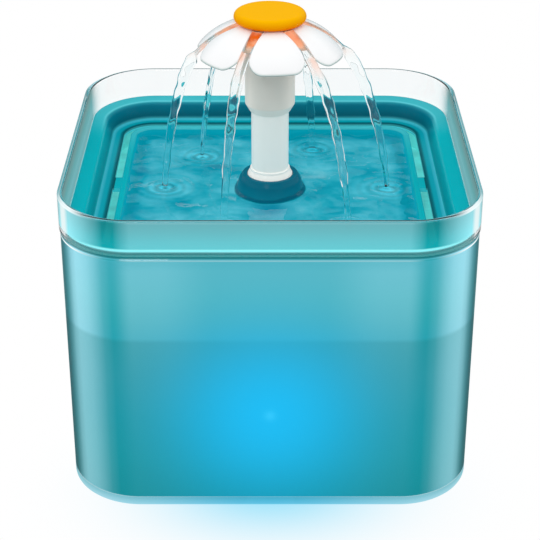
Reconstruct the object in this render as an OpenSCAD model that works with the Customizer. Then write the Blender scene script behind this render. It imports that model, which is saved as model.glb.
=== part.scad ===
// Square pet water fountain: a clear tank with a coloured liner, a lift-out drinking tray with a
// filter case under it, a submersible lit pump and a six-petal flower that pours into the tray.
// The origin is at the centre of the base, on the table. +Z is up and the front faces -Y.

/* [Tank] */
// Width and depth of the clear tank at its collar
tank_w = 165; // [158:1:185]
// Height of the tank to the top of its collar
tank_h = 129; // [124:1:150]
// Outside radius of the upright corners
corner_r = 30; // [26:1:34]
// Wall of the clear tank at its collar
tank_wall = 2.2; // [1.8:0.1:2.8]
// Floor of the clear tank
tank_floor_t = 3.8; // [2.6:0.2:5]
// Radius of the bottom outside edge
base_r = 2; // [1:0.5:2.5]
// Distance of the step where the collar begins below the liner's rim
collar_drop = 0.6; // [0.2:0.2:3]
// How far the collar stands out past the body below it
collar_step = 0.4; // [0.2:0.1:0.8]
// Space between the clear tank and its liner
liner_gap = 0.3; // [0.2:0.1:0.6]
// Wall of the coloured liner
liner_wall = 2; // [1.4:0.1:2.4]
// Floor of the coloured liner
liner_floor_t = 2.2; // [1.6:0.2:3]
// Height of the collar above the liner's rim, which carries the tray
collar_h = 15; // [12:0.5:18]
// Radius of the cable hole in the rear wall
cable_hole_r = 4.2; // [3:0.1:5]
// Distance of the cable hole below the liner's rim
cable_hole_drop = 14; // [12:1:16]
// Sideways place of the cable hole
cable_hole_x = -24; // [-40:1:40]

/* [Tray] */
// Gap between the tray's flange and the inside of the collar
tray_gap = 0.8; // [0.4:0.1:1]
// Thickness of the flange at its outer edge
flange_t = 3; // [2:0.2:4]
// Width of the sloping flange
flange_w = 6.5; // [5:0.5:7]
// Drop of the flange from its outer edge to its inner edge
flange_drop = 1.5; // [0.5:0.1:2]
// Width of the sloping wall inside the flange
tray_slope_w = 2; // [1:0.2:3]
// Depth of the gutter floor below the top of the flange
gutter_depth = 9; // [7:0.5:10]
// Wall of the tray
tray_wall = 2.2; // [1.6:0.1:2.8]
// Width of the gutter floor outside the drain slot
gutter_w = 5; // [3:0.5:6]
// Width of the drain slot
slot_w = 3; // [2:0.2:4]
// Length of the web that crosses the slot at the middle of each side
web_l = 11; // [6:1:16]
// Width of the flat land inside the slot
land_w = 2.4; // [1.6:0.2:3]
// Width of the slope from the land to the basin floor
basin_slope_w = 2; // [1:0.5:2]
// Depth of the basin floor below the gutter floor
basin_depth = 5; // [3:0.5:6]
// Length of the skirt that grips the filter case
skirt_h = 7; // [5:0.5:9]
// Radius of the boss where it meets the basin floor
boss_r = 14.6; // [13:0.2:16]
// Radius of the boss at its lip
boss_lip_r = 11.7; // [11:0.1:12.4]
// Height of the boss lip above the gutter floor
boss_rise = 4.7; // [3.5:0.1:6]
// Length of the tube under the basin that guides the riser
guide_l = 3; // [2:0.5:4]

/* [Riser] */
// Outside radius of the riser tube
riser_r = 7.75; // [7:0.05:8]
// Radius of the water way in the riser
riser_bore_r = 5.8; // [5.4:0.1:6]
// Height of the top of the riser tube above the boss lip
riser_rise = 51.3; // [45:0.1:70]
// Distance of the riser's lower end above the connector's shoulder
riser_gap = 10; // [6:0.5:12]
// Radius of the dish flange that sits in the boss
dish_r = 9.4; // [9:0.1:9.8]
// Depth of the flange's seat below the boss lip
dish_depth = 2.4; // [1.6:0.1:3]
// Height of the cone on top of the dish flange
dish_cone_h = 2.8; // [2:0.2:4]
// Radial clearance of every sliding or turning fit
fit = 0.08; // [0.02:0.01:0.1]
// Clearance between pieces that are only laid together
seat = 0.3; // [0.2:0.05:0.4]

/* [Flower] */
// Outside radius of the sleeve under the petals
sleeve_r = 10.3; // [9.6:0.1:11]
// How far the riser reaches into the sleeve
sleeve_grip = 23; // [16:0.5:28]
// Height of the chamfer at the sleeve's lower end
sleeve_chamfer = 3.3; // [2:0.1:5]
// Radius of the water way through the sleeve and the spreader
neck_r = 5; // [4.6:0.1:5.4]
// Thickness of the sleeve's shoulder over the riser
sleeve_shoulder = 4; // [3:0.5:5]
// Number of petals
petals = 6; // [5:1:7]
// Turn of the first channel about the upright axis
flower_turn = 6.5; // [0:0.5:30]
// Radius of the sphere that the petals lie on
dome_r = 42; // [40:0.5:48]
// Height of the top of that sphere above the sleeve
dome_rise = 13.1; // [12:0.1:15]
// Thickness of the petals
petal_t = 2; // [1.6:0.1:2.4]
// Radius of the flower at the petal tips
tip_r = 30.5; // [28:0.5:34]
// Radius of the rounded petal corners
petal_corner_r = 6.5; // [5:0.5:7]
// Width of the channel between two petals
channel_w = 5; // [4:0.5:6]
// Outside radius of the ring that joins the petals
petal_ring_r = 11; // [10:0.5:12]
// Radius of the hole in that ring
petal_hole_r = 7; // [6.5:0.5:8]
// Outside radius of the orange spreader under the petals
spreader_r = 20; // [17:0.5:22]
// Thickness of the spreader
spreader_t = 1.6; // [1.2:0.1:2]
// Outside radius of the yellow cap
cap_r = 14.7; // [13:0.1:16]
// Thickness of the cap at its rim
cap_t = 4.2; // [4:0.1:6]
// Clearance between the cap's rim and the petals' dome
cap_gap = 0.1; // [0.05:0.05:0.4]
// Rounding radius of the cap's edge
cap_edge_r = 2; // [1.5:0.1:2]
// Skin of the cap over its hollow underside
cap_skin = 1.6; // [1.2:0.1:1.8]
// Length of the stem under the cap
stem_l = 9; // [6:0.5:11]
// Thickness of the stem's two crossed ribs
stem_t = 1.6; // [1.2:0.1:2]

/* [Filter] */
// Height of the filter case
case_h = 21.5; // [20:0.5:23]
// Wall and floor of the filter case
case_wall = 1.6; // [1.2:0.1:2]
// Inside radius of the tube through the filter case
case_tube_r = 12; // [11.6:0.1:13]
// Thickness of the coarse foam layer
foam_t = 3.8; // [3:0.2:4]
// Thickness of the carbon layer
carbon_t = 4.6; // [3:0.2:5]
// Thickness of the cotton layer
cotton_t = 4; // [3:0.2:4.4]
// Gap between the filter layers and the wall of the case
media_gap = 0.6; // [0.4:0.1:1]
// Width of one drain slot in the floor of the case
drain_w = 3; // [2:0.5:4]
// Distance between two drain slots
drain_pitch = 9; // [7:1:12]
// Number of drain slots on each side of the tube
drain_rows = 5; // [3:1:5]

/* [Pump] */
// Width of the pump housing, front to back
pump_w = 40; // [38:1:44]
// Height of the pump housing
pump_h = 44; // [43:0.5:45]
// Height of the pump housing above the liner floor
pump_lift = 4.5; // [4:0.5:6]
// Radius of the housing's long edges
pump_edge_r = 5; // [3:0.5:6]
// Length of the impeller chamber
chamber_l = 12; // [11:0.5:13]
// Radius of the impeller chamber
chamber_r = 13; // [12:0.2:13]
// Height of the shaft above the underside of the housing
shaft_h = 17.5; // [17.5:0.5:19]
// Length of the motor room behind the chamber
motor_l = 33; // [33:0.5:35]
// Wall of the housing
pump_wall = 2.5; // [2:0.1:2.8]
// Thickness of the housing's floor
pump_floor = 4; // [3.5:0.1:4.4]
// Radius of the well that the rotor turns in
well_r = 8; // [7.8:0.1:8.2]
// Wall of the rotor well
well_wall = 1.2; // [1:0.1:1.4]
// Depth of the rotor well behind the chamber
well_l = 26; // [25:0.5:26]
// Inside radius of the outlet nozzle
nozzle_bore_r = 4.5; // [4:0.1:4.8]
// Outside radius of the outlet nozzle
nozzle_r = 6.5; // [6:0.1:6.8]
// Length of the outlet nozzle
nozzle_l = 8; // [6:0.5:9]
// Thickness of the cover plates at both ends of the housing
plate_t = 2.4; // [2:0.1:3]
// Wall of the soft connector between the nozzle and the riser
connector_wall = 2.2; // [1.6:0.1:2.6]
// Thickness of the shoulder inside the connector
shoulder_t = 1.5; // [1:0.1:2]
// How far the riser reaches into the connector
riser_grip = 7; // [6:0.5:8]
// Radius of a suction cup
cup_r = 8; // [6:0.5:8]
// Radius of a suction cup's peg
cup_peg_r = 2.2; // [1.8:0.1:2.6]
// Distance between the suction cups along the pump
cup_pitch_x = 28; // [24:1:28]
// Distance between the suction cups across the pump
cup_pitch_y = 22; // [20:1:24]

/* [Rotor and motor] */
// Radius of the ceramic shaft
shaft_r = 1.25; // [1:0.05:1.5]
// Radius of the rubber shaft bushes
bush_r = 3.2; // [2.8:0.1:3.4]
// Length of a shaft bush
bush_l = 2.4; // [2:0.1:2.6]
// Radius of the rotor magnet
magnet_r = 7.2; // [6.6:0.1:7.4]
// Length of the rotor magnet
magnet_l = 20; // [16:0.5:21]
// Outside radius of the impeller's hub
hub_r = 3.2; // [2.6:0.1:3.6]
// Radius of the impeller blades
impeller_r = 11.4; // [9:0.1:11.5]
// Number of impeller blades
blades = 6; // [4:1:8]
// Thickness of an impeller blade
blade_t = 1.2; // [0.8:0.1:1.6]
// Gap between the impeller and the ends of its chamber
impeller_gap = 1.5; // [1:0.1:2]
// Length of the stator core along the shaft
core_l = 16; // [14:0.5:16]
// Gap between the stator core and the side walls of its room
core_gap = 3; // [2.6:0.1:3.4]
// Width of each upright leg of the core
leg_w = 6; // [5.5:0.1:6]
// Height of the core's yoke
yoke_h = 4.5; // [3.5:0.1:4.8]
// Height of the core above its lower end
core_h = 32.5; // [32:0.1:33]
// Thickness of the coil winding
winding_t = 2.3; // [1.6:0.1:2.4]
// Wall of the coil bobbin
bobbin_t = 0.8; // [0.6:0.1:0.9]
// Thickness of a circuit board
board_t = 1.6; // [1.2:0.1:1.8]

/* [Light and cable] */
// Width of the light's window
window_w = 8; // [6:0.5:8]
// Height of the light's window
window_h = 9; // [8:0.5:10]
// Thickness of the light's window
window_t = 2; // [1.4:0.1:2.4]
// Depth of the light's pocket in the front of the housing
pocket_d = 6.6; // [6:0.1:7.4]
// Radius of the light's lens
led_r = 2.5; // [2:0.1:2.6]
// Radius of the cable that the glands are made for
cable_r = 1.8; // [1.4:0.1:2]

/* [Intake] */
// Depth of the intake cover
cover_d = 15; // [12:0.5:18]
// Wall of the intake cover
cover_wall = 1.8; // [1.4:0.1:2.2]
// Width of one intake slot
intake_slot_w = 2.2; // [1.6:0.1:2.4]
// Number of intake slots
intake_slots = 7; // [5:2:7]
// Distance between two intake slots
intake_pitch = 4.4; // [4:0.1:4.6]
// Height of an intake slot
intake_slot_h = 15; // [12:1:16]
// Thickness of the intake sponge
sponge_t = 10; // [8:0.5:11]
// Width of the flow regulator's plate
slider_w = 14; // [10:1:16]
// Height of the flow regulator's plate
slider_h = 12; // [10:1:13]
// Thickness of the flow regulator's plate
slider_t = 1.6; // [1.2:0.1:2]
// Travel of the flow regulator
slider_travel = 8; // [5:1:9]

/* [Hidden] */
$fn = 96;

// Tank
half_w = tank_w / 2;
centre = half_w - corner_r;
shell_in = half_w - tank_wall;
body_half = half_w - collar_step;
liner_out = shell_in - liner_gap;
liner_in = liner_out - liner_wall;
floor_z = tank_floor_t + liner_floor_t;
rim_z = tank_h - collar_h;
collar_z = rim_z - collar_drop;
cable_hole_z = rim_z - cable_hole_drop;

// Tray
flange_half = shell_in - tray_gap;
flange_top = rim_z + flange_t;
flange_in = flange_half - flange_w;
gutter_half = flange_in - tray_slope_w;
gutter_z = flange_top - gutter_depth;
slot_out = gutter_half - gutter_w;
slot_in = slot_out - slot_w;
basin_half = slot_in - land_w;
basin_floor_half = basin_half - basin_slope_w;
basin_z = gutter_z - basin_depth;
tray_out = gutter_half + tray_wall;
skirt_in = gutter_half;
boss_top = gutter_z + boss_rise;
dish_seat_z = boss_top - dish_depth;
guide_z = basin_z - tray_wall - guide_l;
riser_hole_r = riser_r + fit;

// Flower
riser_top = boss_top + riser_rise;
sleeve_z = riser_top - sleeve_grip;
sleeve_top = riser_top + sleeve_shoulder;
dome_top = sleeve_top + dome_rise;
dome_z = dome_top - dome_r;
under_r = dome_r - petal_t - seat;
cap_hollow_r = cap_r - cap_edge_r - 0.4;
cap_z = dome_z + sqrt(dome_r * dome_r - cap_hollow_r * cap_hollow_r) + cap_gap;
cap_top = cap_z + cap_t;
cap_roof = cap_top - cap_skin;
petal_step = 360 / petals;
corner_dist = channel_w / 2 + petal_corner_r;
corner_run = sqrt(pow(tip_r - petal_corner_r, 2) - corner_dist * corner_dist);

// Filter
case_half = skirt_in - seat;
case_top = gutter_z - tray_wall - seat;
case_z = case_top - case_h;
case_in = case_half - case_wall;
media_half = case_in - media_gap;
foam_z = case_z + case_wall;
carbon_z = foam_z + foam_t;
cotton_z = carbon_z + carbon_t;
case_tube_out = case_tube_r + case_wall;
case_tube_top = cotton_z + cotton_t;

// Pump: the shaft lies along X at y = 0, and the outlet nozzle is on the origin's upright axis
pump_z = floor_z + pump_lift;
pump_top = pump_z + pump_h;
shaft_z = pump_z + shaft_h;
chamber_half = chamber_l / 2;
rear_x = -chamber_half - motor_l;
room_x = -chamber_half - pump_wall;
room_w = pump_w - 2 * pump_wall;
room_top = pump_top - pump_wall;
room_z = pump_z + pump_floor;
well_end = -chamber_half - well_l;
bush_seat = 1.5;
well_out_r = well_r + well_wall;
nozzle_top = pump_top + nozzle_l;
connector_z = pump_top + seat;
riser_bottom = nozzle_top + shoulder_t + riser_gap;
connector_top = riser_bottom + riser_grip;
connector_r = riser_r + fit + connector_wall;
cup_x = -chamber_half - motor_l / 2;
peg_depth = 2;
gland_x = cup_x;
gland_z = room_top - 6;
gland_r = cable_r + 1.4;

// Rotor
shaft_front = chamber_half + bush_seat;
shaft_back = well_end - bush_seat;
impeller_back = -chamber_half + impeller_gap;
impeller_front = chamber_half - impeller_gap;
disc_t = 1.5;
magnet_x = impeller_back - 2.5 - magnet_l;
hub_bore_r = shaft_r + fit;

// Stator
core_w = room_w - 2 * core_gap;
core_hole_r = well_out_r + seat;
core_mid_x = (rear_x + room_x) / 2 + 1;
core_z = room_z + 0.3;
core_top = core_z + core_h;
yoke_z = core_top - yoke_h;
window_half = core_w / 2 - leg_w;
bobbin_gap = 0.2;
bobbin_x = core_l / 2 + bobbin_gap;
bobbin_in_z = yoke_z - bobbin_gap;
bobbin_in_h = yoke_h + 2 * bobbin_gap;
bobbin_half_y = window_half - 0.5;
board_x = rear_x + 0.6;
board_w = core_w - 2;
board_h = room_top - room_z - 2;

// Light
light_z = pump_top - pump_wall - window_h / 2;
window_gap = 0.1;
pocket_w = window_w + 2 * window_gap;
pocket_h = window_h + 2 * window_gap;
led_board_y = -pump_w / 2 + pocket_d;

// Intake
cover_x = chamber_half + plate_t;
cover_end = cover_x + cover_d;
slider_z = pump_z + pump_edge_r;
slider_rail = 1.4;
gate_w = slider_w - 4;
gate_h = slider_h - 4;
slots_z = slider_z + slider_h + slider_travel - 1;

// ---- Shared shapes ----

// Rounded square of the given half width, with corners about the tank's four corner centres
module rounded_square(half) {
    r = half - centre;
    square([2 * half, 2 * centre], center = true);
    square([2 * centre, 2 * half], center = true);
    for (sx = [-1, 1], sy = [-1, 1])
        translate([sx * centre, sy * centre]) circle(r);
}

module rounded_block(half, z0, z1) {
    translate([0, 0, z0]) linear_extrude(z1 - z0) rounded_square(half);
}

// A profile carried along the tank's four straight sides: x is the distance out from the line
// between two corner centres, y is the height
module sides() {
    for (i = [0:3]) rotate(90 * i)
        translate([centre, centre, 0]) rotate([90, 0, 0]) linear_extrude(2 * centre) children();
}

// The same profile turned about the tank's four corner centres
module corners() {
    for (i = [0:3]) rotate(90 * i)
        translate([centre, centre, 0]) rotate_extrude(angle = 90) children();
}

module around() {
    sides() children();
    corners() children();
}

// Rounded rectangle in the plane
module rounded_rect(w, h, r) {
    square([w - 2 * r, h], center = true);
    square([w, h - 2 * r], center = true);
    for (sx = [-1, 1], sy = [-1, 1])
        translate([sx * (w / 2 - r), sy * (h / 2 - r)]) circle(r);
}

// Bar along +X from x0 to x1 with a flat section: the section's x is the bar's y, its y is up
module bar_x(x0, x1) {
    translate([x0, 0, 0]) rotate([90, 0, 90]) linear_extrude(x1 - x0) children();
}

// Rod along X on the pump's shaft line
module rod_x(r, x0, x1) {
    translate([x0, 0, shaft_z]) rotate([0, 90, 0]) cylinder(r = r, h = x1 - x0);
}

module rod_z(r, z0, z1) {
    translate([0, 0, z0]) cylinder(r = r, h = z1 - z0);
}

// Rod along Y, for what passes through front and rear walls
module rod_y(r, y0, y1, x, z) {
    translate([x, y0, z]) rotate([-90, 0, 0]) cylinder(r = r, h = y1 - y0);
}

// ---- Tank: each of its two mouldings is kept as a floor, four flat walls and four corners ----

module bottom_edge_cut() {
    difference() {
        translate([body_half - centre - base_r, 0]) square([base_r + 1, base_r]);
        translate([body_half - centre - base_r, base_r]) circle(base_r);
    }
}

module clear_section() {
    translate([-centre, 0]) polygon([
        [shell_in, tank_floor_t],
        [body_half, tank_floor_t],
        [body_half, collar_z],
        [half_w, collar_z],
        [half_w, tank_h],
        [shell_in, tank_h]
    ]);
}

module liner_section() {
    translate([liner_in - centre, floor_z]) square([liner_wall, rim_z - floor_z]);
}

module clear_floor() {
    color([0.86, 0.96, 0.98, 0.35]) difference() {
        rounded_block(body_half, 0, tank_floor_t);
        around() bottom_edge_cut();
    }
}

module clear_walls() {
    color([0.86, 0.96, 0.98, 0.35]) difference() {
        sides() clear_section();
        rod_y(cable_hole_r, shell_in - 1, half_w + 1, cable_hole_x, cable_hole_z);
    }
}

module clear_corners() {
    color([0.86, 0.96, 0.98, 0.35]) corners() clear_section();
}

module liner_floor() {
    color([0.36, 0.72, 0.78]) rounded_block(liner_out, tank_floor_t, floor_z);
}

module liner_walls() {
    color([0.36, 0.72, 0.78]) difference() {
        sides() liner_section();
        rod_y(cable_hole_r, liner_in - 1, liner_out + 1, cable_hole_x, cable_hole_z);
    }
}

module liner_corners() {
    color([0.36, 0.72, 0.78]) corners() liner_section();
}

// Two lipped rubber ring that lines the cable hole
module cable_grommet() {
    lip = 1.2;
    wall_in = liner_in - seat / 2;
    wall_out = body_half + seat / 2;
    color([0.2, 0.2, 0.22]) difference() {
        union() {
            rod_y(cable_hole_r - fit, wall_in - lip, wall_out + lip, cable_hole_x, cable_hole_z);
            rod_y(cable_hole_r + 1.8, wall_in - lip, wall_in, cable_hole_x, cable_hole_z);
            rod_y(cable_hole_r + 1.8, wall_out, wall_out + lip, cable_hole_x, cable_hole_z);
        }
        rod_y(cable_r, wall_in - lip - 1, wall_out + lip + 1, cable_hole_x, cable_hole_z);
    }
}

// ---- Tray: one moulding, kept as its dish, four sides, four corners and boss ----

// Section of the rim, from the drain slot out to the flange's edge
module rim_section() {
    edge = 0.6;
    skirt_z = gutter_z - tray_wall - skirt_h;
    translate([-centre, 0]) polygon([
        [slot_out, gutter_z - tray_wall],
        [slot_out, gutter_z],
        [gutter_half, gutter_z],
        [flange_in, flange_top - flange_drop],
        [flange_half - edge, flange_top],
        [flange_half, flange_top - edge],
        [flange_half, rim_z],
        [flange_in + tray_wall + 1, rim_z],
        [tray_out, rim_z - tray_wall / 2],
        [tray_out, skirt_z],
        [skirt_in, skirt_z],
        [skirt_in, gutter_z - tray_wall]
    ]);
}

// Section of the dish, from the corner centres out to the drain slot
module dish_section() {
    step = tray_wall / 2;
    translate([-centre, 0]) polygon([
        [centre, basin_z - tray_wall],
        [centre, basin_z],
        [basin_floor_half, basin_z],
        [basin_half, gutter_z],
        [slot_in, gutter_z],
        [slot_in, gutter_z - tray_wall],
        [basin_half + step, gutter_z - tray_wall],
        [basin_floor_half + step, basin_z - tray_wall]
    ]);
}

module drinking_tray() {
    color([0.03, 0.62, 0.68]) difference() {
        union() {
            around() dish_section();
            translate([-centre, -centre, basin_z - tray_wall])
                cube([2 * centre, 2 * centre, tray_wall]);
            for (i = [0:3]) rotate(90 * i)
                translate([basin_half + tray_wall / 2, -web_l / 2, gutter_z - tray_wall])
                    cube([slot_out - basin_half - tray_wall / 2, web_l, tray_wall]);
        }
        rod_z(boss_r, basin_z - tray_wall - 1, basin_z + 1);
    }
}

module tray_sides() {
    color([0.03, 0.62, 0.68]) sides() rim_section();
}

module tray_corners() {
    color([0.03, 0.62, 0.68]) corners() rim_section();
}

module boss_profile() {
    lip = 0.5;
    polygon([
        [riser_hole_r, guide_z],
        [riser_hole_r + tray_wall, guide_z],
        [riser_hole_r + tray_wall, basin_z - tray_wall],
        [boss_r, basin_z - tray_wall],
        [boss_r, basin_z],
        [boss_r - 0.5, (basin_z + gutter_z) / 2],
        [boss_lip_r + 1.2, gutter_z + boss_rise * 0.55],
        [boss_lip_r, boss_top - lip],
        [boss_lip_r - lip, boss_top],
        [dish_r + fit, boss_top],
        [dish_r + fit, dish_seat_z],
        [riser_hole_r, dish_seat_z]
    ]);
}

module tray_boss() {
    color([0.03, 0.62, 0.68]) rotate_extrude() boss_profile();
}

// ---- Filter ----

// Slots through the floor on both sides of the tube, shorter towards the outside
module floor_drains() {
    first_x = case_tube_out + drain_w / 2 + 2;
    longest = 2 * case_in - 40;
    shorter = 4;
    for (side = [-1, 1], i = [0:drain_rows - 1])
        translate([side * (first_x + i * drain_pitch), 0, case_z - 1]) linear_extrude(case_wall + 2)
            square([drain_w, longest - shorter * i], center = true);
}

// The filter case is kept as its floor with the tube, four flat walls and four corners
module filter_case() {
    color([0.85, 0.9, 0.92]) difference() {
        union() {
            rounded_block(case_half, case_z, foam_z);
            rod_z(case_tube_out, case_z, case_tube_top);
        }
        rod_z(case_tube_r, case_z - 1, case_tube_top + 1);
        floor_drains();
    }
}

module case_section() {
    translate([case_in - centre, foam_z]) square([case_wall, case_top - foam_z]);
}

module case_sides() {
    color([0.85, 0.9, 0.92]) sides() case_section();
}

module case_corners() {
    color([0.85, 0.9, 0.92]) corners() case_section();
}

module media_layer(z, t) {
    difference() {
        rounded_block(media_half, z, z + t);
        rod_z(case_tube_out + media_gap, z - 1, z + t + 1);
    }
}

module filter_foam() {
    color([0.25, 0.25, 0.27]) media_layer(foam_z, foam_t);
}

module filter_carbon() {
    color([0.1, 0.1, 0.1]) media_layer(carbon_z, carbon_t);
}

module filter_cotton() {
    color([0.95, 0.95, 0.93]) media_layer(cotton_z, cotton_t);
}

// ---- Riser ----

module riser_tube() {
    color([0.93, 0.94, 0.94]) rotate_extrude() polygon([
        [riser_bore_r, riser_bottom],
        [riser_r, riser_bottom],
        [riser_r, dish_seat_z],
        [dish_r, dish_seat_z],
        [dish_r, boss_top - 0.1],
        [riser_r + 0.5, boss_top + dish_cone_h - 0.4],
        [riser_r, boss_top + dish_cone_h],
        [riser_r, riser_top],
        [riser_bore_r, riser_top]
    ]);
}

// ---- Flower ----

module flower_sleeve() {
    color([0.93, 0.94, 0.94]) rotate_extrude() polygon([
        [riser_hole_r, sleeve_z],
        [riser_hole_r + 0.6, sleeve_z],
        [sleeve_r, sleeve_z + sleeve_chamfer],
        [sleeve_r, sleeve_top],
        [neck_r, sleeve_top],
        [neck_r, riser_top],
        [riser_hole_r, riser_top]
    ]);
}

module orange_spreader() {
    color([1, 0.45, 0.02]) difference() {
        union() {
            intersection() {
                rod_z(spreader_r, sleeve_top, dome_top);
                difference() {
                    translate([0, 0, dome_z]) sphere(under_r);
                    translate([0, 0, dome_z]) sphere(under_r - spreader_t);
                }
            }
            intersection() {
                rod_z(neck_r + 3, sleeve_top, dome_top);
                translate([0, 0, dome_z]) sphere(under_r);
            }
        }
        rod_z(neck_r, sleeve_top - 1, dome_top);
    }
}

// Plan of one petal along +X: straight sides beside the channels, an arc at the tip
module petal_plan() {
    half_step = petal_step / 2;
    along = [cos(half_step), sin(half_step)];
    inward = [sin(half_step), -cos(half_step)];
    corner = corner_run * along + corner_dist * inward;
    tangent = corner_run * along + channel_w / 2 * inward;
    root = petal_hole_r * along + channel_w / 2 * inward;
    reach = 1.4;
    polygon([
        [root[0], -root[1]],
        [tangent[0], -tangent[1]],
        [corner[0], -corner[1]],
        corner,
        tangent,
        root
    ]);
    for (side = [-1, 1]) translate([corner[0], side * corner[1]]) circle(petal_corner_r);
    intersection() {
        circle(tip_r);
        polygon([[0, 0], reach * [corner[0], -corner[1]], reach * corner]);
    }
}

module flower_plan() {
    for (i = [0:petals - 1]) rotate(flower_turn + petal_step * (i + 0.5)) petal_plan();
    circle(petal_ring_r);
}

module flower_petals() {
    color("white") intersection() {
        translate([0, 0, sleeve_z]) linear_extrude(dome_top - sleeve_z + 1) difference() {
            flower_plan();
            circle(petal_hole_r);
        }
        difference() {
            translate([0, 0, dome_z]) sphere(dome_r);
            translate([0, 0, dome_z]) sphere(dome_r - petal_t);
        }
    }
}

module cap_profile() {
    difference() {
        union() {
            translate([0, cap_z]) square([cap_r - cap_edge_r, cap_t]);
            translate([0, cap_z + cap_edge_r]) square([cap_r, cap_t - 2 * cap_edge_r]);
            translate([cap_r - cap_edge_r, cap_top - cap_edge_r]) circle(cap_edge_r);
            translate([cap_r - cap_edge_r, cap_z + cap_edge_r]) circle(cap_edge_r);
        }
        translate([-1, cap_z - 1]) square([cap_hollow_r + 1, cap_roof - cap_z + 1]);
    }
}

module flower_cap() {
    stem_half = neck_r - fit - stem_t * stem_t / (8 * neck_r);
    color([1, 0.72, 0]) {
        rotate_extrude() cap_profile();
        for (turn = [0, 90]) rotate(turn)
            translate([-stem_half, -stem_t / 2, cap_roof - stem_l])
                cube([2 * stem_half, stem_t, stem_l + cap_skin / 2]);
    }
}

// ---- Pump ----

module housing_section() {
    translate([0, pump_z + pump_h / 2]) rounded_rect(pump_w, pump_h, pump_edge_r);
}

module motor_room_section() {
    translate([-room_w / 2, room_z]) square([room_w, room_top - room_z]);
}

module cup_places() {
    for (sx = [-1, 1], sy = [-1, 1])
        translate([cup_x + sx * cup_pitch_x / 2, sy * cup_pitch_y / 2, 0]) children();
}

module pump_housing() {
    color([0.2, 0.22, 0.24]) difference() {
        union() {
            bar_x(rear_x, chamber_half) housing_section();
            rod_z(nozzle_r, pump_top - 1, nozzle_top);
        }
        difference() {
            bar_x(rear_x - 1, room_x) motor_room_section();
            rod_x(well_out_r, well_end - bush_seat - well_wall, room_x + 1);
        }
        rod_x(chamber_r, -chamber_half, chamber_half + 1);
        rod_x(well_r, well_end, -chamber_half + 1);
        rod_x(bush_r + fit, well_end - bush_seat, well_end + 1);
        rod_z(nozzle_bore_r, shaft_z, nozzle_top + 1);
        translate([-pocket_w / 2, -pump_w / 2 - 1, light_z - pocket_h / 2])
            cube([pocket_w, pocket_d + 1, pocket_h]);
        rod_y(gland_r + fit, room_w / 2 - 1, pump_w / 2 + 1, gland_x, gland_z);
        cup_places() translate([0, 0, pump_z - 1])
            cylinder(r = cup_peg_r + fit, h = peg_depth + 1);
    }
}

module volute_cover() {
    inlets = 6;
    inlet_r = 1.9;
    color([0.24, 0.26, 0.28]) difference() {
        bar_x(chamber_half, chamber_half + plate_t) housing_section();
        rod_x(bush_r + fit, chamber_half - 1, chamber_half + bush_seat);
        for (i = [0:inlets - 1])
            translate([chamber_half - 1, 0, shaft_z]) rotate([360 / inlets * i, 0, 0])
                translate([0, bush_r + inlet_r + 1, 0]) rotate([0, 90, 0])
                    cylinder(r = inlet_r, h = plate_t + 2);
    }
}

module motor_end_cover() {
    post = board_x - rear_x;
    color([0.24, 0.26, 0.28]) {
        bar_x(rear_x - plate_t, rear_x) housing_section();
        for (sy = [-1, 1], z = [room_z + 4, room_top - 4])
            translate([rear_x - 1, sy * (core_w / 2 - 4), z]) rotate([0, 90, 0])
                cylinder(r = 1.5, h = post + 1);
    }
}

module outlet_connector() {
    color([0.85, 0.87, 0.88]) rotate_extrude() polygon([
        [nozzle_r + fit, connector_z],
        [connector_r, connector_z],
        [connector_r, connector_top],
        [riser_hole_r, connector_top],
        [riser_hole_r, nozzle_top + shoulder_t],
        [nozzle_bore_r, nozzle_top + shoulder_t],
        [nozzle_bore_r, nozzle_top],
        [nozzle_r + fit, nozzle_top]
    ]);
}

module suction_cups() {
    neck = 1.8;
    color([0.8, 0.82, 0.84]) cup_places() rotate_extrude() polygon([
        [0, floor_z + 1.6],
        [cup_r - 1.6, floor_z],
        [cup_r, floor_z],
        [cup_r, floor_z + 0.8],
        [cup_peg_r + 1.4, floor_z + neck + 1.2],
        [cup_peg_r + 1.4, pump_z],
        [cup_peg_r, pump_z],
        [cup_peg_r, pump_z + peg_depth],
        [0, pump_z + peg_depth]
    ]);
}

module pump_cable_gland() {
    lip = 1.5;
    boot = 7;
    y_in = room_w / 2;
    y_out = pump_w / 2;
    color([0.12, 0.12, 0.13]) difference() {
        union() {
            rod_y(gland_r, y_in - lip, y_out + boot, gland_x, gland_z);
            rod_y(gland_r + 1.2, y_in - lip, y_in, gland_x, gland_z);
            rod_y(gland_r + 1.2, y_out, y_out + lip, gland_x, gland_z);
        }
        rod_y(cable_r, y_in - lip - 1, y_out + boot + 1, gland_x, gland_z);
    }
}

// ---- Motor ----

module core_plan() {
    difference() {
        translate([-core_w / 2, core_z]) square([core_w, core_h]);
        translate([0, shaft_z]) circle(core_hole_r);
        translate([-window_half, shaft_z + core_hole_r / 2])
            square([2 * window_half, yoke_z - shaft_z - core_hole_r / 2]);
        translate([-2.5, core_z - 1]) square([5, core_hole_r]);
    }
}

module stator_core() {
    color([0.5, 0.51, 0.53])
        bar_x(core_mid_x - core_l / 2, core_mid_x + core_l / 2) core_plan();
}

// Box wrapped about the yoke, grown by the given thickness on its four sides
module yoke_box(grow, half_y) {
    translate([core_mid_x - bobbin_x - grow, -half_y, bobbin_in_z - grow])
        cube([2 * (bobbin_x + grow), 2 * half_y, bobbin_in_h + 2 * grow]);
}

module coil_bobbin() {
    color([0.92, 0.92, 0.88]) difference() {
        union() {
            yoke_box(bobbin_t, bobbin_half_y);
            for (side = [-1, 1])
                translate([0, side * (bobbin_half_y - bobbin_t / 2), 0])
                    yoke_box(bobbin_t + winding_t, bobbin_t / 2);
        }
        yoke_box(0, bobbin_half_y + 1);
    }
}

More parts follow.
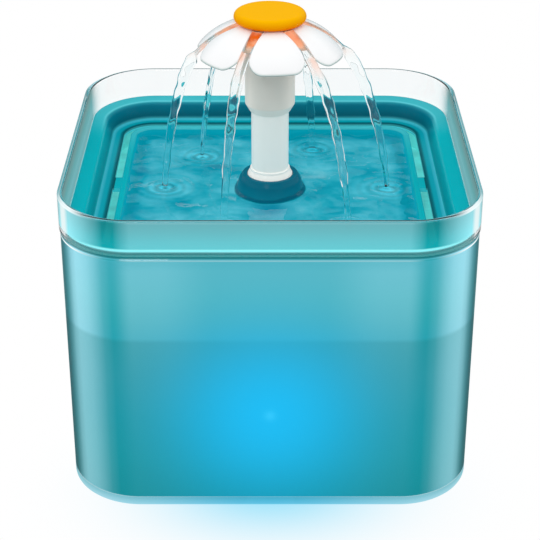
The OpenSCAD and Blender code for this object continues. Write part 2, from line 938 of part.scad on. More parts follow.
module coil_winding() {
    color([0.72, 0.4, 0.2]) difference() {
        yoke_box(bobbin_t + winding_t, bobbin_half_y - bobbin_t);
        yoke_box(bobbin_t, bobbin_half_y);
    }
}

module driver_board() {
    color([0.05, 0.35, 0.2]) {
        translate([board_x, -board_w / 2, room_z + 1])
            cube([board_t, board_w, board_h]);
        for (place = [[-0.25, 0.15], [0.2, 0.4], [-0.1, 0.75]])
            translate([board_x + board_t / 2, place[0] * board_w, room_z + 1 + place[1] * board_h])
                cube([board_t / 2 + 1, 4, 3]);
    }
}

// ---- Light ----

module led_board() {
    color([0.1, 0.35, 0.75]) {
        translate([-window_w / 2, led_board_y - board_t, light_z - window_h / 2])
            cube([window_w, board_t, window_h]);
        rod_y(led_r, led_board_y - board_t - 1.5, led_board_y - board_t + 0.5, 0, light_z);
    }
}

module led_window() {
    front = -pump_w / 2;
    color([0.8, 0.93, 1, 0.5]) {
        translate([-window_w / 2, front, light_z - window_h / 2])
            cube([window_w, window_t, window_h]);
        rod_y(led_r + 1, front - 0.6, front + 0.5, 0, light_z);
    }
}

// ---- Rotor ----

module rotor_shaft() {
    color([0.95, 0.95, 0.92]) rod_x(shaft_r, shaft_back, shaft_front);
}

module shaft_bush(x0) {
    color([0.15, 0.15, 0.16]) difference() {
        rod_x(bush_r, x0, x0 + bush_l);
        rod_x(shaft_r + 0.02, x0 - 1, x0 + bush_l + 1);
    }
}

module rear_shaft_bush() {
    shaft_bush(shaft_back);
}

module front_shaft_bush() {
    shaft_bush(shaft_front - bush_l);
}

module impeller() {
    color([0.9, 0.92, 0.93]) difference() {
        union() {
            rod_x(hub_r, magnet_x, impeller_front - 1);
            rod_x(impeller_r, impeller_back, impeller_back + disc_t);
            for (i = [0:blades - 1])
                translate([0, 0, shaft_z]) rotate([360 / blades * i, 0, 0])
                    translate([impeller_back + disc_t / 2, 0, -blade_t / 2])
                        cube([impeller_front - impeller_back - disc_t / 2 - 1, impeller_r - 0.5, blade_t]);
        }
        rod_x(hub_bore_r, magnet_x - 1, impeller_front + 1);
    }
}

module rotor_magnet() {
    color([0.22, 0.22, 0.24]) difference() {
        rod_x(magnet_r, magnet_x, magnet_x + magnet_l);
        rod_x(hub_r + fit, magnet_x - 1, magnet_x + magnet_l + 1);
    }
}

// ---- Intake ----

module cover_section(inset) {
    translate([0, pump_z + pump_h / 2])
        rounded_rect(pump_w - 2 * inset, pump_h - 2 * inset, pump_edge_r - inset);
}

module intake_cover() {
    rail_in = slider_w / 2 + seat;
    slot_h = min(intake_slot_h, pump_top - pump_edge_r - slots_z);
    first_slot_y = -(intake_slots - 1) / 2 * intake_pitch - intake_slot_w / 2;
    color([0.2, 0.22, 0.24]) difference() {
        union() {
            bar_x(cover_x, cover_end) cover_section(0);
            for (y = [rail_in, -rail_in - slider_rail])
                translate([cover_end - 0.5, y, slider_z])
                    cube([slider_t + seat + 0.5, slider_rail, slider_h + slider_travel]);
        }
        bar_x(cover_x - 1, cover_end - cover_wall) cover_section(cover_wall);
        for (i = [0:intake_slots - 1])
            translate([cover_end - cover_wall - 1, first_slot_y + i * intake_pitch, slots_z])
                cube([cover_wall + 2, intake_slot_w, slot_h]);
        translate([cover_end - cover_wall - 1, -gate_w / 2, slider_z + 2])
            cube([cover_wall + 2, gate_w, gate_h]);
    }
}

module intake_sponge() {
    gap = 0.4;
    color([0.3, 0.3, 0.32])
        bar_x(cover_end - cover_wall - seat - sponge_t, cover_end - cover_wall - seat)
            cover_section(cover_wall + gap);
}

module flow_regulator() {
    knob_h = 2.4;
    color([0.9, 0.92, 0.93]) {
        translate([cover_end + seat / 2, -slider_w / 2, slider_z])
            cube([slider_t, slider_w, slider_h]);
        for (i = [0:2])
            translate([cover_end + seat / 2 + slider_t / 2, -slider_w / 4, slider_z + 2 + 3 * i])
                cube([slider_t / 2 + knob_h / 2, slider_w / 2, 1.4]);
    }
}

clear_floor();
clear_walls();
clear_corners();
liner_floor();
liner_walls();
liner_corners();
cable_grommet();
drinking_tray();
tray_sides();
tray_corners();
tray_boss();
filter_case();
case_sides();
case_corners();
filter_foam();
filter_carbon();
filter_cotton();
riser_tube();
flower_sleeve();
orange_spreader();
flower_petals();
flower_cap();
pump_housing();
volute_cover();
motor_end_cover();
outlet_connector();
suction_cups();
stator_core();
coil_bobbin();
coil_winding();
driver_board();
led_board();
led_window();
pump_cable_gland();
rotor_shaft();
rear_shaft_bush();
front_shaft_bush();
impeller();
rotor_magnet();
intake_cover();
intake_sponge();
flow_regulator();
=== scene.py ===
import math
from functools import reduce

import bpy
import numpy as np
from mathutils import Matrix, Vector


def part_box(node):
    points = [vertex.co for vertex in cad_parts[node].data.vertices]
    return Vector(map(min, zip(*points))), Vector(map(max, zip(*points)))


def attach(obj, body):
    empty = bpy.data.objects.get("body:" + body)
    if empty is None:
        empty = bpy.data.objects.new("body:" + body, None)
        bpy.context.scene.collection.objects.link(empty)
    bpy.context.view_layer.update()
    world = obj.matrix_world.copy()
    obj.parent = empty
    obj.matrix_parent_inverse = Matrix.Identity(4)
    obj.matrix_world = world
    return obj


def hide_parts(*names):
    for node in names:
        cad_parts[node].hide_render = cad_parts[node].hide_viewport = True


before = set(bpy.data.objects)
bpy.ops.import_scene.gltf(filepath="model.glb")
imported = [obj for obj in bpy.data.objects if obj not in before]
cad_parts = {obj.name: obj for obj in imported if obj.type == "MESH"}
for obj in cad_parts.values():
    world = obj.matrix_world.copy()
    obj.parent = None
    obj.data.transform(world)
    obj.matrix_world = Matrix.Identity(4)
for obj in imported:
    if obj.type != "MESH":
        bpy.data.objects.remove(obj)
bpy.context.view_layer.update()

# All lengths below are in metres, in the frame of the CAD model: +Z up, the front faces -Y.
MM = 0.001

# ---- Sizes: from the boxes of CAD nodes, and the ones that a box can't give ----
TANK_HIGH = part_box("clear_walls")[1]
LINER_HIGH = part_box("liner_walls")[1]
FLOOR_LOW, FLOOR_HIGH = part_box("liner_floor")
TRAY_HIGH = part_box("tray_sides")[1]
CAP_LOW, CAP_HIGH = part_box("flower_cap")
SLEEVE_LOW, SLEEVE_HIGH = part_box("flower_sleeve")
RISER_LOW, RISER_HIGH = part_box("riser_tube")

TANK_HALF = TANK_HIGH[0]
TANK_TOP = TANK_HIGH[2]
CORNER_R = 30 * MM
# How far out the axes of the rounded upright corners lie
CENTRE = TANK_HALF - CORNER_R
# The step where the collar begins to stand out past the body
STEP_Z = 113.4 * MM
BODY_HALF = TANK_HALF - 0.4 * MM
SHELL_IN = TANK_HALF - 2.2 * MM
TANK_FLOOR = FLOOR_LOW[2]
LINER_OUT = LINER_HIGH[0]
LINER_IN = LINER_OUT - 2 * MM
LINER_FLOOR = FLOOR_HIGH[2]
RIM_Z = LINER_HIGH[2]
WATERLINE = 77.2 * MM
# Height of the lamp's painted glow on the front wall
LIGHT_Z = 43 * MM
# Shares of the liner's tone that it gives off by itself, as painted light, and that it scatters
LINER_SHINE = 0.85
LINER_DULL = 0.25

# The tray from the outside in: flange, slope, gutter, drain slot, land and basin
FLANGE_HALF = TRAY_HIGH[0]
FLANGE_TOP = TRAY_HIGH[2]
FLANGE_DROP = 1.5 * MM
FLANGE_IN = FLANGE_HALF - 6.5 * MM
GUTTER_HALF = FLANGE_IN - 2 * MM
GUTTER_Z = FLANGE_TOP - 9 * MM
SLOT_OUT = GUTTER_HALF - 5 * MM
SLOT_IN = SLOT_OUT - 3 * MM
BASIN_HALF = SLOT_IN - 2.4 * MM
BASIN_Z = GUTTER_Z - 5 * MM
TRAY_WALL = 2.2 * MM
SKIRT_H = 7 * MM
# Length of the webs that cross the drain slot
WEB = 11 * MM
POOL_Z = 106.2 * MM
BOSS_TOP = 112.7 * MM
BOSS_R = 14.6 * MM
BOSS_WET_R = 14.2 * MM
GUIDE_Z = 97.8 * MM

RISER_R = 7.75 * MM
RISER_BORE = 5.8 * MM
RISER_HOLE = RISER_R + 0.08 * MM
DISH_R = 9.4 * MM
DISH_SEAT = BOSS_TOP - 2.4 * MM
SLEEVE_R = 10.3 * MM
NECK_R = 5 * MM
SPREADER_R = 20 * MM
CAP_R = 14.7 * MM

DOME_R = 42 * MM
DOME_Z = 181.1 * MM - DOME_R
TIP_R = 30.2 * MM
PETAL_CORNER = 6 * MM
# A petal's side leans by this angle from the channel beside it, and passes the axis at this distance
PETAL_LEAN = math.radians(5)
PETAL_SIDE = 3.37 * MM
PETALS = 6
PETAL_STEP = 2 * math.pi / PETALS
PETAL_T = 2 * MM
FLOWER_TURN = math.radians(6.5)

# The turn of the channel that each stream leaves by, and the place where it lands in the tray
CHANNEL_TURNS = [FLOWER_TURN + PETAL_STEP * k for k in range(PETALS)]
LANDINGS = np.array([
    (49.5, 0.4), (18.9, 42.5), (-30.0, 34.6), (-44.5, 1.2), (-18.5, -40.0), (31.5, -38.0)]) * MM


# ---- Surfaces ----

# Distance of a shading support point from the end of a straight stretch
HOLD = 0.25 * MM


def arc_steps(n, start, stop):
    return np.linspace(math.radians(start), math.radians(stop), n)


def rounded(points, radii_mm, steps=6):
    """A polygon with each corner replaced by an arc tangent to both of its sides.

    points is (n, 2), radii_mm gives one radius a corner (0 keeps it sharp). The arc's centre lies on the
    corner's bisector, at radius / sin(half the corner's angle) from the corner. Long straight stretches
    get a point near each end, so that smooth shading stays flat on them."""
    points = np.asarray(points, float)
    out = []
    for i, (corner, radius) in enumerate(zip(points, np.array(radii_mm) * MM)):
        before, after = points[i - 1] - corner, points[(i + 1) % len(points)] - corner
        if radius <= 0:
            out.append(corner[None])
            continue
        a, b = before / np.linalg.norm(before), after / np.linalg.norm(after)
        half = math.acos(np.clip(a @ b, -1, 1)) / 2
        reach = min(radius / math.tan(half), 0.49 * min(np.linalg.norm(before), np.linalg.norm(after)))
        bend = reach * math.tan(half)
        centre = corner + (a + b) / np.linalg.norm(a + b) * bend / math.sin(half)
        first, last = corner + a * reach - centre, corner + b * reach - centre
        turn = math.atan2(first[0] * last[1] - first[1] * last[0], first @ last)
        t = np.linspace(0, turn, steps)[:, None]
        side = np.array([-first[1], first[0]])
        out.append(centre + first * np.cos(t) + side * np.sin(t))
    held = []
    for i, arc in enumerate(out):
        held.append(arc)
        start, end = arc[-1], out[(i + 1) % len(out)][0]
        length = np.linalg.norm(end - start)
        if length > 4 * HOLD:
            held.append(start + (end - start) * np.array([[HOLD / length], [1 - HOLD / length]]))
    return np.concatenate(held)


def outline_base(corner_steps=36, side_steps=6):
    """Where each point of a rounded square lies: the corner centre it belongs to, in units of the
    centre's distance, and the direction in which it stands off. Sides move between two centres, with a
    point close to each corner, so that smooth shading stays flat on them."""
    centres, normals = [], []
    for k in range(4):
        turn = math.radians(90 * k)
        spin = np.array([[math.cos(turn), math.sin(turn)], [-math.sin(turn), math.cos(turn)]])
        run = np.concatenate([[-1], np.linspace(-0.99, 0.99, side_steps)])
        a = arc_steps(corner_steps, 0, 90)[:-1]
        place = np.concatenate([np.stack([np.ones_like(run), run], 1), np.ones((len(a), 2))])
        stand = np.concatenate([np.tile([1.0, 0.0], (len(run), 1)), np.stack([np.cos(a), np.sin(a)], 1)])
        centres.append(place @ spin)
        normals.append(stand @ spin)
    return np.concatenate(centres), np.concatenate(normals)


def square_loops(half, base):
    """Rounded squares of the given half widths, all about the same corner centres. Inside the smallest
    one that still has round corners, a loop is that one scaled down."""
    half = np.asarray(half, float)
    least = CENTRE + 4 * MM
    scale = np.minimum(1, half / least)[None, :, None]
    stand = (np.maximum(half, least) - CENTRE)[None, :, None]
    return scale * (base[0][:, None] * CENTRE + base[1][:, None] * stand)


def swept(profile, base):
    """Carries a profile of (half width, height) round the tank's rounded square."""
    profile = np.asarray(profile, float)
    loops = square_loops(profile[:, 0], base)
    z = np.broadcast_to(profile[:, 1], loops.shape[:2])
    return np.concatenate([loops, z[..., None]], 2)


def turned(profile, steps=96):
    """Turns a profile of (radius, height) about the upright axis."""
    profile = np.asarray(profile, float)
    a = np.linspace(0, 2 * math.pi, steps, endpoint=False)[:, None]
    x, y = profile[:, 0] * np.cos(a), profile[:, 0] * np.sin(a)
    return np.stack([x, y, np.broadcast_to(profile[:, 1], x.shape)], 2)


def skin(points, close_v=False):
    """Vertices and faces of a grid of points. u (axis 0) always closes; v (axis 1) closes on request.
    A first or last row that has shrunk to a point becomes one vertex with triangles. The faces are
    turned so that the volume they enclose is positive."""
    nu, nv = points.shape[:2]
    index = np.arange(nu * nv).reshape(nu, nv)
    spread = np.ptp(points, axis=0).max(1)
    if not close_v:
        for row in (0, nv - 1):
            if spread[row] < 1e-7:
                index[:, row] = index[0, row]
    columns = np.arange(nv if close_v else nv - 1)
    a, b = index[:, columns], np.roll(index, -1, 0)[:, columns]
    nxt = (columns + 1) % nv
    d, c = index[:, nxt], np.roll(index, -1, 0)[:, nxt]
    quads = np.stack([a, b, c, d], 2).reshape(-1, 4)
    used, inverse = np.unique(quads, return_inverse=True)
    verts = points.reshape(-1, 3)[used]
    quads = inverse.reshape(-1, 4)
    p = verts[quads] - verts.mean(0)
    volume = (np.einsum("ij,ij->i", p[:, 0], np.cross(p[:, 1], p[:, 2]))
              + np.einsum("ij,ij->i", p[:, 0], np.cross(p[:, 2], p[:, 3]))).sum()
    if volume < 0:
        quads = quads[:, ::-1]
    faces = [tuple(dict.fromkeys(q)) for q in quads.tolist()]
    return verts, faces


def lathed(profile):
    """The closed skin of a ring that has this closed profile."""
    return skin(turned(profile), close_v=True)


def rounded_bar(low, high, power, steps=24):
    """A box whose edges are rounded: the superellipsoid |x|^n + |y|^n + |z|^n = 1, n = 2 / power,
    stretched to fit."""
    u = np.linspace(-math.pi, math.pi, 2 * steps, endpoint=False)[:, None]
    v = np.linspace(-math.pi / 2, math.pi / 2, steps)[None, :]

    def eased(wave):
        return np.sign(wave) * np.abs(wave) ** power

    low, high = np.asarray(low), np.asarray(high)
    unit = np.stack([eased(np.cos(v)) * eased(np.cos(u)), eased(np.cos(v)) * eased(np.sin(u)),
                     np.broadcast_to(eased(np.sin(v)), (2 * steps, steps))], 2)
    unit[:, 0, :2] = unit[:, -1, :2] = 0
    return (low + high) / 2 + unit * (high - low) / 2


def show(name, data):
    """An object in the scene that holds a mesh, a light or a camera."""
    obj = bpy.data.objects.new(name, data)
    bpy.context.scene.collection.objects.link(obj)
    return obj


def piece(name, skins, material, body, replaces=()):
    """One smooth object made of closed skins, at the origin, that rides on a body."""
    verts, faces, start = [], [], 0
    for v, f in skins:
        verts.append(v)
        faces += [tuple(i + start for i in face) for face in f]
        start += len(v)
    mesh = bpy.data.meshes.new(name)
    mesh.from_pydata(np.concatenate(verts).tolist(), [], faces)
    mesh.validate()
    mesh.polygons.foreach_set("use_smooth", np.ones(len(mesh.polygons), bool))
    mesh.materials.append(material)
    obj = show(name, mesh)
    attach(obj, body)
    if replaces:
        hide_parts(*replaces)


# ---- Materials ----

PURE_WHITE = (1.0, 1.0, 1.0, 1.0)


def colour(code):
    """An sRGB hex colour, such as "#4fb5c4", as a linear RGBA tuple."""
    srgb = np.array([int(code[i:i + 2], 16) for i in (1, 3, 5)]) / 255
    linear = np.where(srgb <= 0.04045, srgb / 12.92, ((srgb + 0.055) / 1.055) ** 2.4)
    return (*linear.tolist(), 1.0)


def add(tree, kind, inputs=None, **settings):
    """Adds a node, sets its properties, and sets or links its inputs."""
    made = tree.nodes.new(kind)
    for name, value in settings.items():
        setattr(made, name, value)
    for name, value in (inputs or {}).items():
        if isinstance(value, bpy.types.NodeSocket):
            tree.links.new(value, made.inputs[name])
        else:
            made.inputs[name].default_value = value
    return made


def calc(tree, operation, *values):
    """The result of a maths node."""
    return add(tree, "ShaderNodeMath", dict(enumerate(values)), operation=operation).outputs[0]


def ramp(tree, value, low, high, start=0.0, end=1.0):
    """A value eased from start, at low, to end, at high, and held beyond them."""
    return add(tree, "ShaderNodeMapRange", {
        "Value": value, "From Min": low, "From Max": high, "To Min": start, "To Max": end,
    }, interpolation_type="SMOOTHSTEP").outputs["Result"]


def blend(tree, share, a, b):
    return add(tree, "ShaderNodeMix", {"Factor": share, "A": a, "B": b}, data_type="RGBA").outputs["Result"]


def times(tree, tone, factor):
    return add(tree, "ShaderNodeVectorMath", {0: tone, "Scale": factor}, operation="SCALE").outputs[0]


def plus(tree, a, b):
    return add(tree, "ShaderNodeVectorMath", {0: a, 1: b}, operation="ADD").outputs[0]


def curve_of(tree, value, stops):
    """A colour ramp over a value between 0 and 1, from (place, hex colour) stops."""
    made = add(tree, "ShaderNodeValToRGB", {"Fac": value})
    marks = made.color_ramp.elements
    while len(marks) < len(stops):
        marks.new(0.5)
    for mark, (place, code) in zip(marks, stops):
        mark.position = place
        mark.color = colour(code)
    return made.outputs["Color"]


def scaled(tree, value, top, stops):
    """A grey curve over a value: stops are (place, height), with places on the same scale as top, where
    the curve ends."""
    made = add(tree, "ShaderNodeFloatCurve", {"Value": calc(tree, "DIVIDE", value, top)})
    line = made.mapping.curves[0]
    while len(line.points) < len(stops):
        line.points.new(0.5, 0.5)
    for point, (place, height) in zip(line.points, sorted(stops)):
        point.location = (place / top, height)
        point.handle_type = "VECTOR"
    made.mapping.update()
    return made.outputs[0]


def product(tree, *values):
    """All the values multiplied, from the first to the last."""
    return reduce(lambda a, b: calc(tree, "MULTIPLY", a, b), values)


def band(tree, value, low, high, soft=0.1 * MM):
    """1 where a value lies between low and high and 0 elsewhere, with soft edges."""
    return product(tree, ramp(tree, value, low - soft, low + soft),
                   ramp(tree, value, high - soft, high + soft, 1.0, 0.0))


def noise(tree, where, scale, detail):
    """Clouds of values about 0.5."""
    return add(tree, "ShaderNodeTexNoise", {"Vector": where, "Scale": scale, "Detail": detail}).outputs["Fac"]


def bumped(tree, height, strength, distance):
    """The normal of a surface that a height raises."""
    return add(tree, "ShaderNodeBump", {
        "Height": height, "Strength": strength, "Distance": distance}).outputs["Normal"]


def distance_to(tree, where, place):
    return add(tree, "ShaderNodeVectorMath", {0: where, 1: place}, operation="DISTANCE").outputs["Value"]


def length_of(tree, vector):
    return add(tree, "ShaderNodeVectorMath", {0: vector}, operation="LENGTH").outputs["Value"]


def flat_vector(tree, x, y):
    return add(tree, "ShaderNodeCombineXYZ", {"X": x, "Y": y}).outputs[0]


def glow_round(tree, where, centre, spread):
    """exp(-(d / spread)^2), d being the distance from a centre."""
    share = calc(tree, "POWER", calc(tree, "DIVIDE", distance_to(tree, where, centre), spread), 2.0)
    return calc(tree, "EXPONENT", calc(tree, "MULTIPLY", share, -1.0))


def side_on(tree):
    """0 where a surface faces the eye, and 1 where it is seen along its length."""
    return add(tree, "ShaderNodeLayerWeight", {"Blend": 0.5}).outputs["Facing"]


def principled(tree, inputs):
    return add(tree, "ShaderNodeBsdfPrincipled", inputs).outputs["BSDF"]


def shine(tree, tone, strength=1.0):
    return add(tree, "ShaderNodeEmission", {"Color": tone, "Strength": strength}).outputs[0]


def mix(tree, share, a, b):
    """Shader a, with a share of shader b over it."""
    return add(tree, "ShaderNodeMixShader", {0: share, 1: a, 2: b}).outputs[0]


def new_material(name):
    """A material with an empty tree, its object coordinates, and the same split into axes."""
    material = bpy.data.materials.new(name)
    material.use_nodes = True
    tree = material.node_tree
    tree.nodes.clear()
    where = add(tree, "ShaderNodeTexCoord").outputs["Object"]
    return material, tree, where, add(tree, "ShaderNodeSeparateXYZ", {"Vector": where}).outputs


def finish_with(tree, shader, kind="ShaderNodeOutputMaterial"):
    add(tree, kind, {"Surface": shader})


def clear_to_light(tree, shader, tint):
    """Lets light through a clear part as a plain tint, so that it casts no hard shadow."""
    see_through = add(tree, "ShaderNodeBsdfTransparent", {"Color": colour(tint)}).outputs[0]
    shadow = add(tree, "ShaderNodeLightPath").outputs["Is Shadow Ray"]
    finish_with(tree, mix(tree, shadow, shader, see_through))


def moulded(name, code, roughness=0.25, specular=0.5, grain_mm=0.4, bump=0.06, shade=0.06, glow=0.0,
            rim=0.0, metallic=0.0):
    """Injection moulded plastic: an even colour with faint flow clouds, and a fine pebble in the gloss.
    glow is a share of its colour that it gives off as painted light, and rim is a painted sheen that it
    adds where it turns away from the eye."""
    material, tree, where, _ = new_material(name)
    clouds = noise(tree, where, 45.0, 2.0)
    tinted = times(tree, colour(code)[:3], ramp(tree, clouds, 0.2, 0.8, 1 - shade, 1 + shade))
    pebble = noise(tree, where, 1 / (grain_mm * MM), 1.0)
    # Its emission is painted light: glow all over, and a painted sheen, rim, where it turns from the eye
    finish_with(tree, principled(tree, {
        "Base Color": tinted, "Roughness": ramp(tree, clouds, 0.2, 0.8, roughness * 0.8, roughness * 1.2),
        "Normal": bumped(tree, pebble, bump, 0.02 * MM), "Specular IOR Level": specular,
        "Metallic": metallic, "Emission Color": tinted,
        "Emission Strength": ramp(tree, side_on(tree), 0.1, 0.5, glow, glow + rim)}))
    return material


def half_width(tree, axes):
    """How far out a point lies on the tank's rounded square, measured like the half widths above, and
    the angle in degrees by which a corner has turned from a front or back wall."""
    past = []
    for axis in ("X", "Y"):
        side = calc(tree, "SUBTRACT", calc(tree, "ABSOLUTE", axes[axis]), CENTRE)
        past.append(calc(tree, "MAXIMUM", side, 0.0))
    angle = calc(tree, "DEGREES", calc(tree, "ARCTAN2", past[0], past[1]))
    return calc(tree, "ADD", length_of(tree, flat_vector(tree, *past)), CENTRE), angle


def clear_plastic():
    """Clear styrene, injection moulded and polished, with a faint ripple. It is almost colourless. Painted
    light shows its thick floor as a pale band, a painted mint sheen on the outer face of its collar
    brightens and darkens round the corners, painted highlights and a painted dark line run along its top
    edge and step, and walls seen along their length are painted grey-green."""
    material, tree, where, axes = new_material("clear_styrene_moulded")
    z = axes["Z"]
    out, angle = half_width(tree, axes)
    glass = principled(tree, {
        "Base Color": colour("#fdfefe"), "Roughness": 0.01, "IOR": 1.45, "Transmission Weight": 1.0,
        "Normal": bumped(tree, noise(tree, where, 30.0, 1.0), 0.05, 0.2 * MM)})
    along = side_on(tree)
    front = calc(tree, "SUBTRACT", 1.0, add(tree, "ShaderNodeNewGeometry").outputs["Backfacing"])

    # Painted light on the floor, and on the body's walls where they are seen along their length
    level = calc(tree, "DIVIDE", z, TANK_TOP)
    own = curve_of(tree, level, [
        (0.0, "#9ce0f4"), (0.004, "#66cfee"), (0.014, "#46b8de"), (0.024, "#2fb0d4"), (0.036, "#16a0c0"),
        (0.045, "#2c8288"), (0.59, "#2c8288"), (0.61, "#58a0a6"), (0.87, "#58a0a6"), (0.885, "#e6eeee"),
        (1.0, "#eef3f3")])
    # Away from the lamp the floor's painted light is pale
    lamp = glow_round(tree, where, (0.0, -BODY_HALF, 0.0), 56 * MM)
    pale = product(tree, ramp(tree, z, 4.8 * MM, 5.6 * MM, 0.85, 0.0), calc(tree, "SUBTRACT", 1.0, lamp))
    own = blend(tree, pale, own, curve_of(tree, level, [(0.0, "#c8f0f6"), (0.036, "#7cc2c8")]))
    floor = ramp(tree, z, TANK_FLOOR + 0.6 * MM, TANK_FLOOR + 1.6 * MM, 0.82, 0.0)
    edges = calc(tree, "MAXIMUM", floor, ramp(tree, along, 0.8, 0.96, 0.0, 0.6))

    # A painted mint sheen on the collar's outer face, and a painted white highlight near each corner
    turn = scaled(tree, angle, 90.0, [
        (0, 0.44), (7, 0.2), (12, 0.0), (20, 0.0), (30, 0.38), (40, 0.7), (52, 1.0), (62, 0.95),
        (76, 0.75), (90, 0.44)])
    collar = ramp(tree, z, FLANGE_TOP, TANK_TOP)
    mint = plus(tree, curve_of(tree, collar, [(0.0, "#10a8b0"), (1.0, "#17868b")]),
                times(tree, (0.32, 0.50, 0.55), turn))
    outer = product(tree, ramp(tree, z, FLANGE_TOP + 0.1 * MM, FLANGE_TOP + 0.8 * MM),
                    ramp(tree, z, TANK_TOP - 0.8 * MM, TANK_TOP - 0.2 * MM, 1.0, 0.0),
                    ramp(tree, out, TANK_HALF - 0.6 * MM, TANK_HALF - 0.1 * MM),
                    front, ramp(tree, along, 0.78, 0.95, 0.94, 0.3))
    flash = product(tree, scaled(tree, angle, 90.0, [
        (0, 0), (54, 0), (59, 0.85), (65, 0.85), (69, 0.15), (72, 0), (90, 0)]), outer, 1.1)

    # Painted highlights along its top edge and under the step, strongest at the corners, and a painted
    # dark line on the step
    corner = ramp(tree, turn, 0.45, 0.95, 0.2, 1.0)
    crest = product(tree, ramp(tree, z, TANK_TOP - 1.3 * MM, TANK_TOP - 0.7 * MM, 0.0, 0.9), corner)
    under = product(tree, ramp(tree, z, STEP_Z - 1.4 * MM, STEP_Z - 1.15 * MM),
                    ramp(tree, z, STEP_Z - 0.85 * MM, STEP_Z - 0.6 * MM, 0.7, 0.0),
                    calc(tree, "ADD", corner, 0.4))
    dark = product(tree, ramp(tree, z, STEP_Z - 0.6 * MM, STEP_Z - 0.3 * MM),
                   ramp(tree, z, STEP_Z + 0.4 * MM, STEP_Z + 1.2 * MM, 0.55, 0.0))
    lines = product(tree, calc(tree, "ADD", calc(tree, "ADD", crest, under), dark), front,
                    ramp(tree, out, SHELL_IN + MM, SHELL_IN + 1.3 * MM))
    line_tone = plus(tree, (0.02, 0.36, 0.42), times(tree, (0.95, 0.7, 0.65), turn))
    line_tone = blend(tree, calc(tree, "GREATER_THAN", dark, 0.01), line_tone, colour("#0f6c70"))

    # Painted grey-green on the collar's inner walls, seen along their length
    grey = curve_of(tree, collar, [(0.0, "#66acb2"), (0.5, "#58a0a3"), (1.0, "#648f8e")])
    inner = product(tree, ramp(tree, out, SHELL_IN + 0.2 * MM, SHELL_IN + 0.7 * MM, 1.0, 0.0),
                    ramp(tree, z, RIM_Z + 0.2 * MM, RIM_Z + 0.6 * MM),
                    front, ramp(tree, along, 0.45, 0.86, 0.0, 0.9))

    body = glass
    for share, tone in ((edges, own), (outer, mint), (flash, colour("#eef8f8")), (lines, line_tone),
                        (inner, grey)):
        body = mix(tree, share, body, shine(tree, tone))
    clear_to_light(tree, body, "#f2fbfc")
    return material


def water():
    """Clean water: IOR 1.333, perfectly smooth, hardly tinted. Where it runs over the flower it carries
    painted highlights, white low down and going pink and orange higher up, where the cone lies below it."""
    material, tree, where, axes = new_material("clear_water")
    swirl = noise(tree, where, 160.0, 2.0)
    clear = principled(tree, {
        "Base Color": colour("#fbffff"), "Roughness": 0.0, "Specular IOR Level": 0.4, "IOR": 1.333,
        "Transmission Weight": 1.0, "Normal": bumped(tree, swirl, 0.2, 0.3 * MM)})
    # Painted highlights over the flower, white at first and orange higher up, where the cone shows through
    film = product(tree, ramp(tree, axes["Z"], 160 * MM, 168 * MM),
                   ramp(tree, swirl, 0.4, 0.65, 0.0, 0.5))
    painted_glint_tone = curve_of(tree, ramp(tree, axes["Z"], 160 * MM, 175 * MM), [
        (0.0, "#f4fafa"), (0.45, "#fde4da"), (1.0, "#ffb48c")])
    clear_to_light(tree, mix(tree, film, clear, shine(tree, painted_glint_tone)), "#f6feff")
    return material


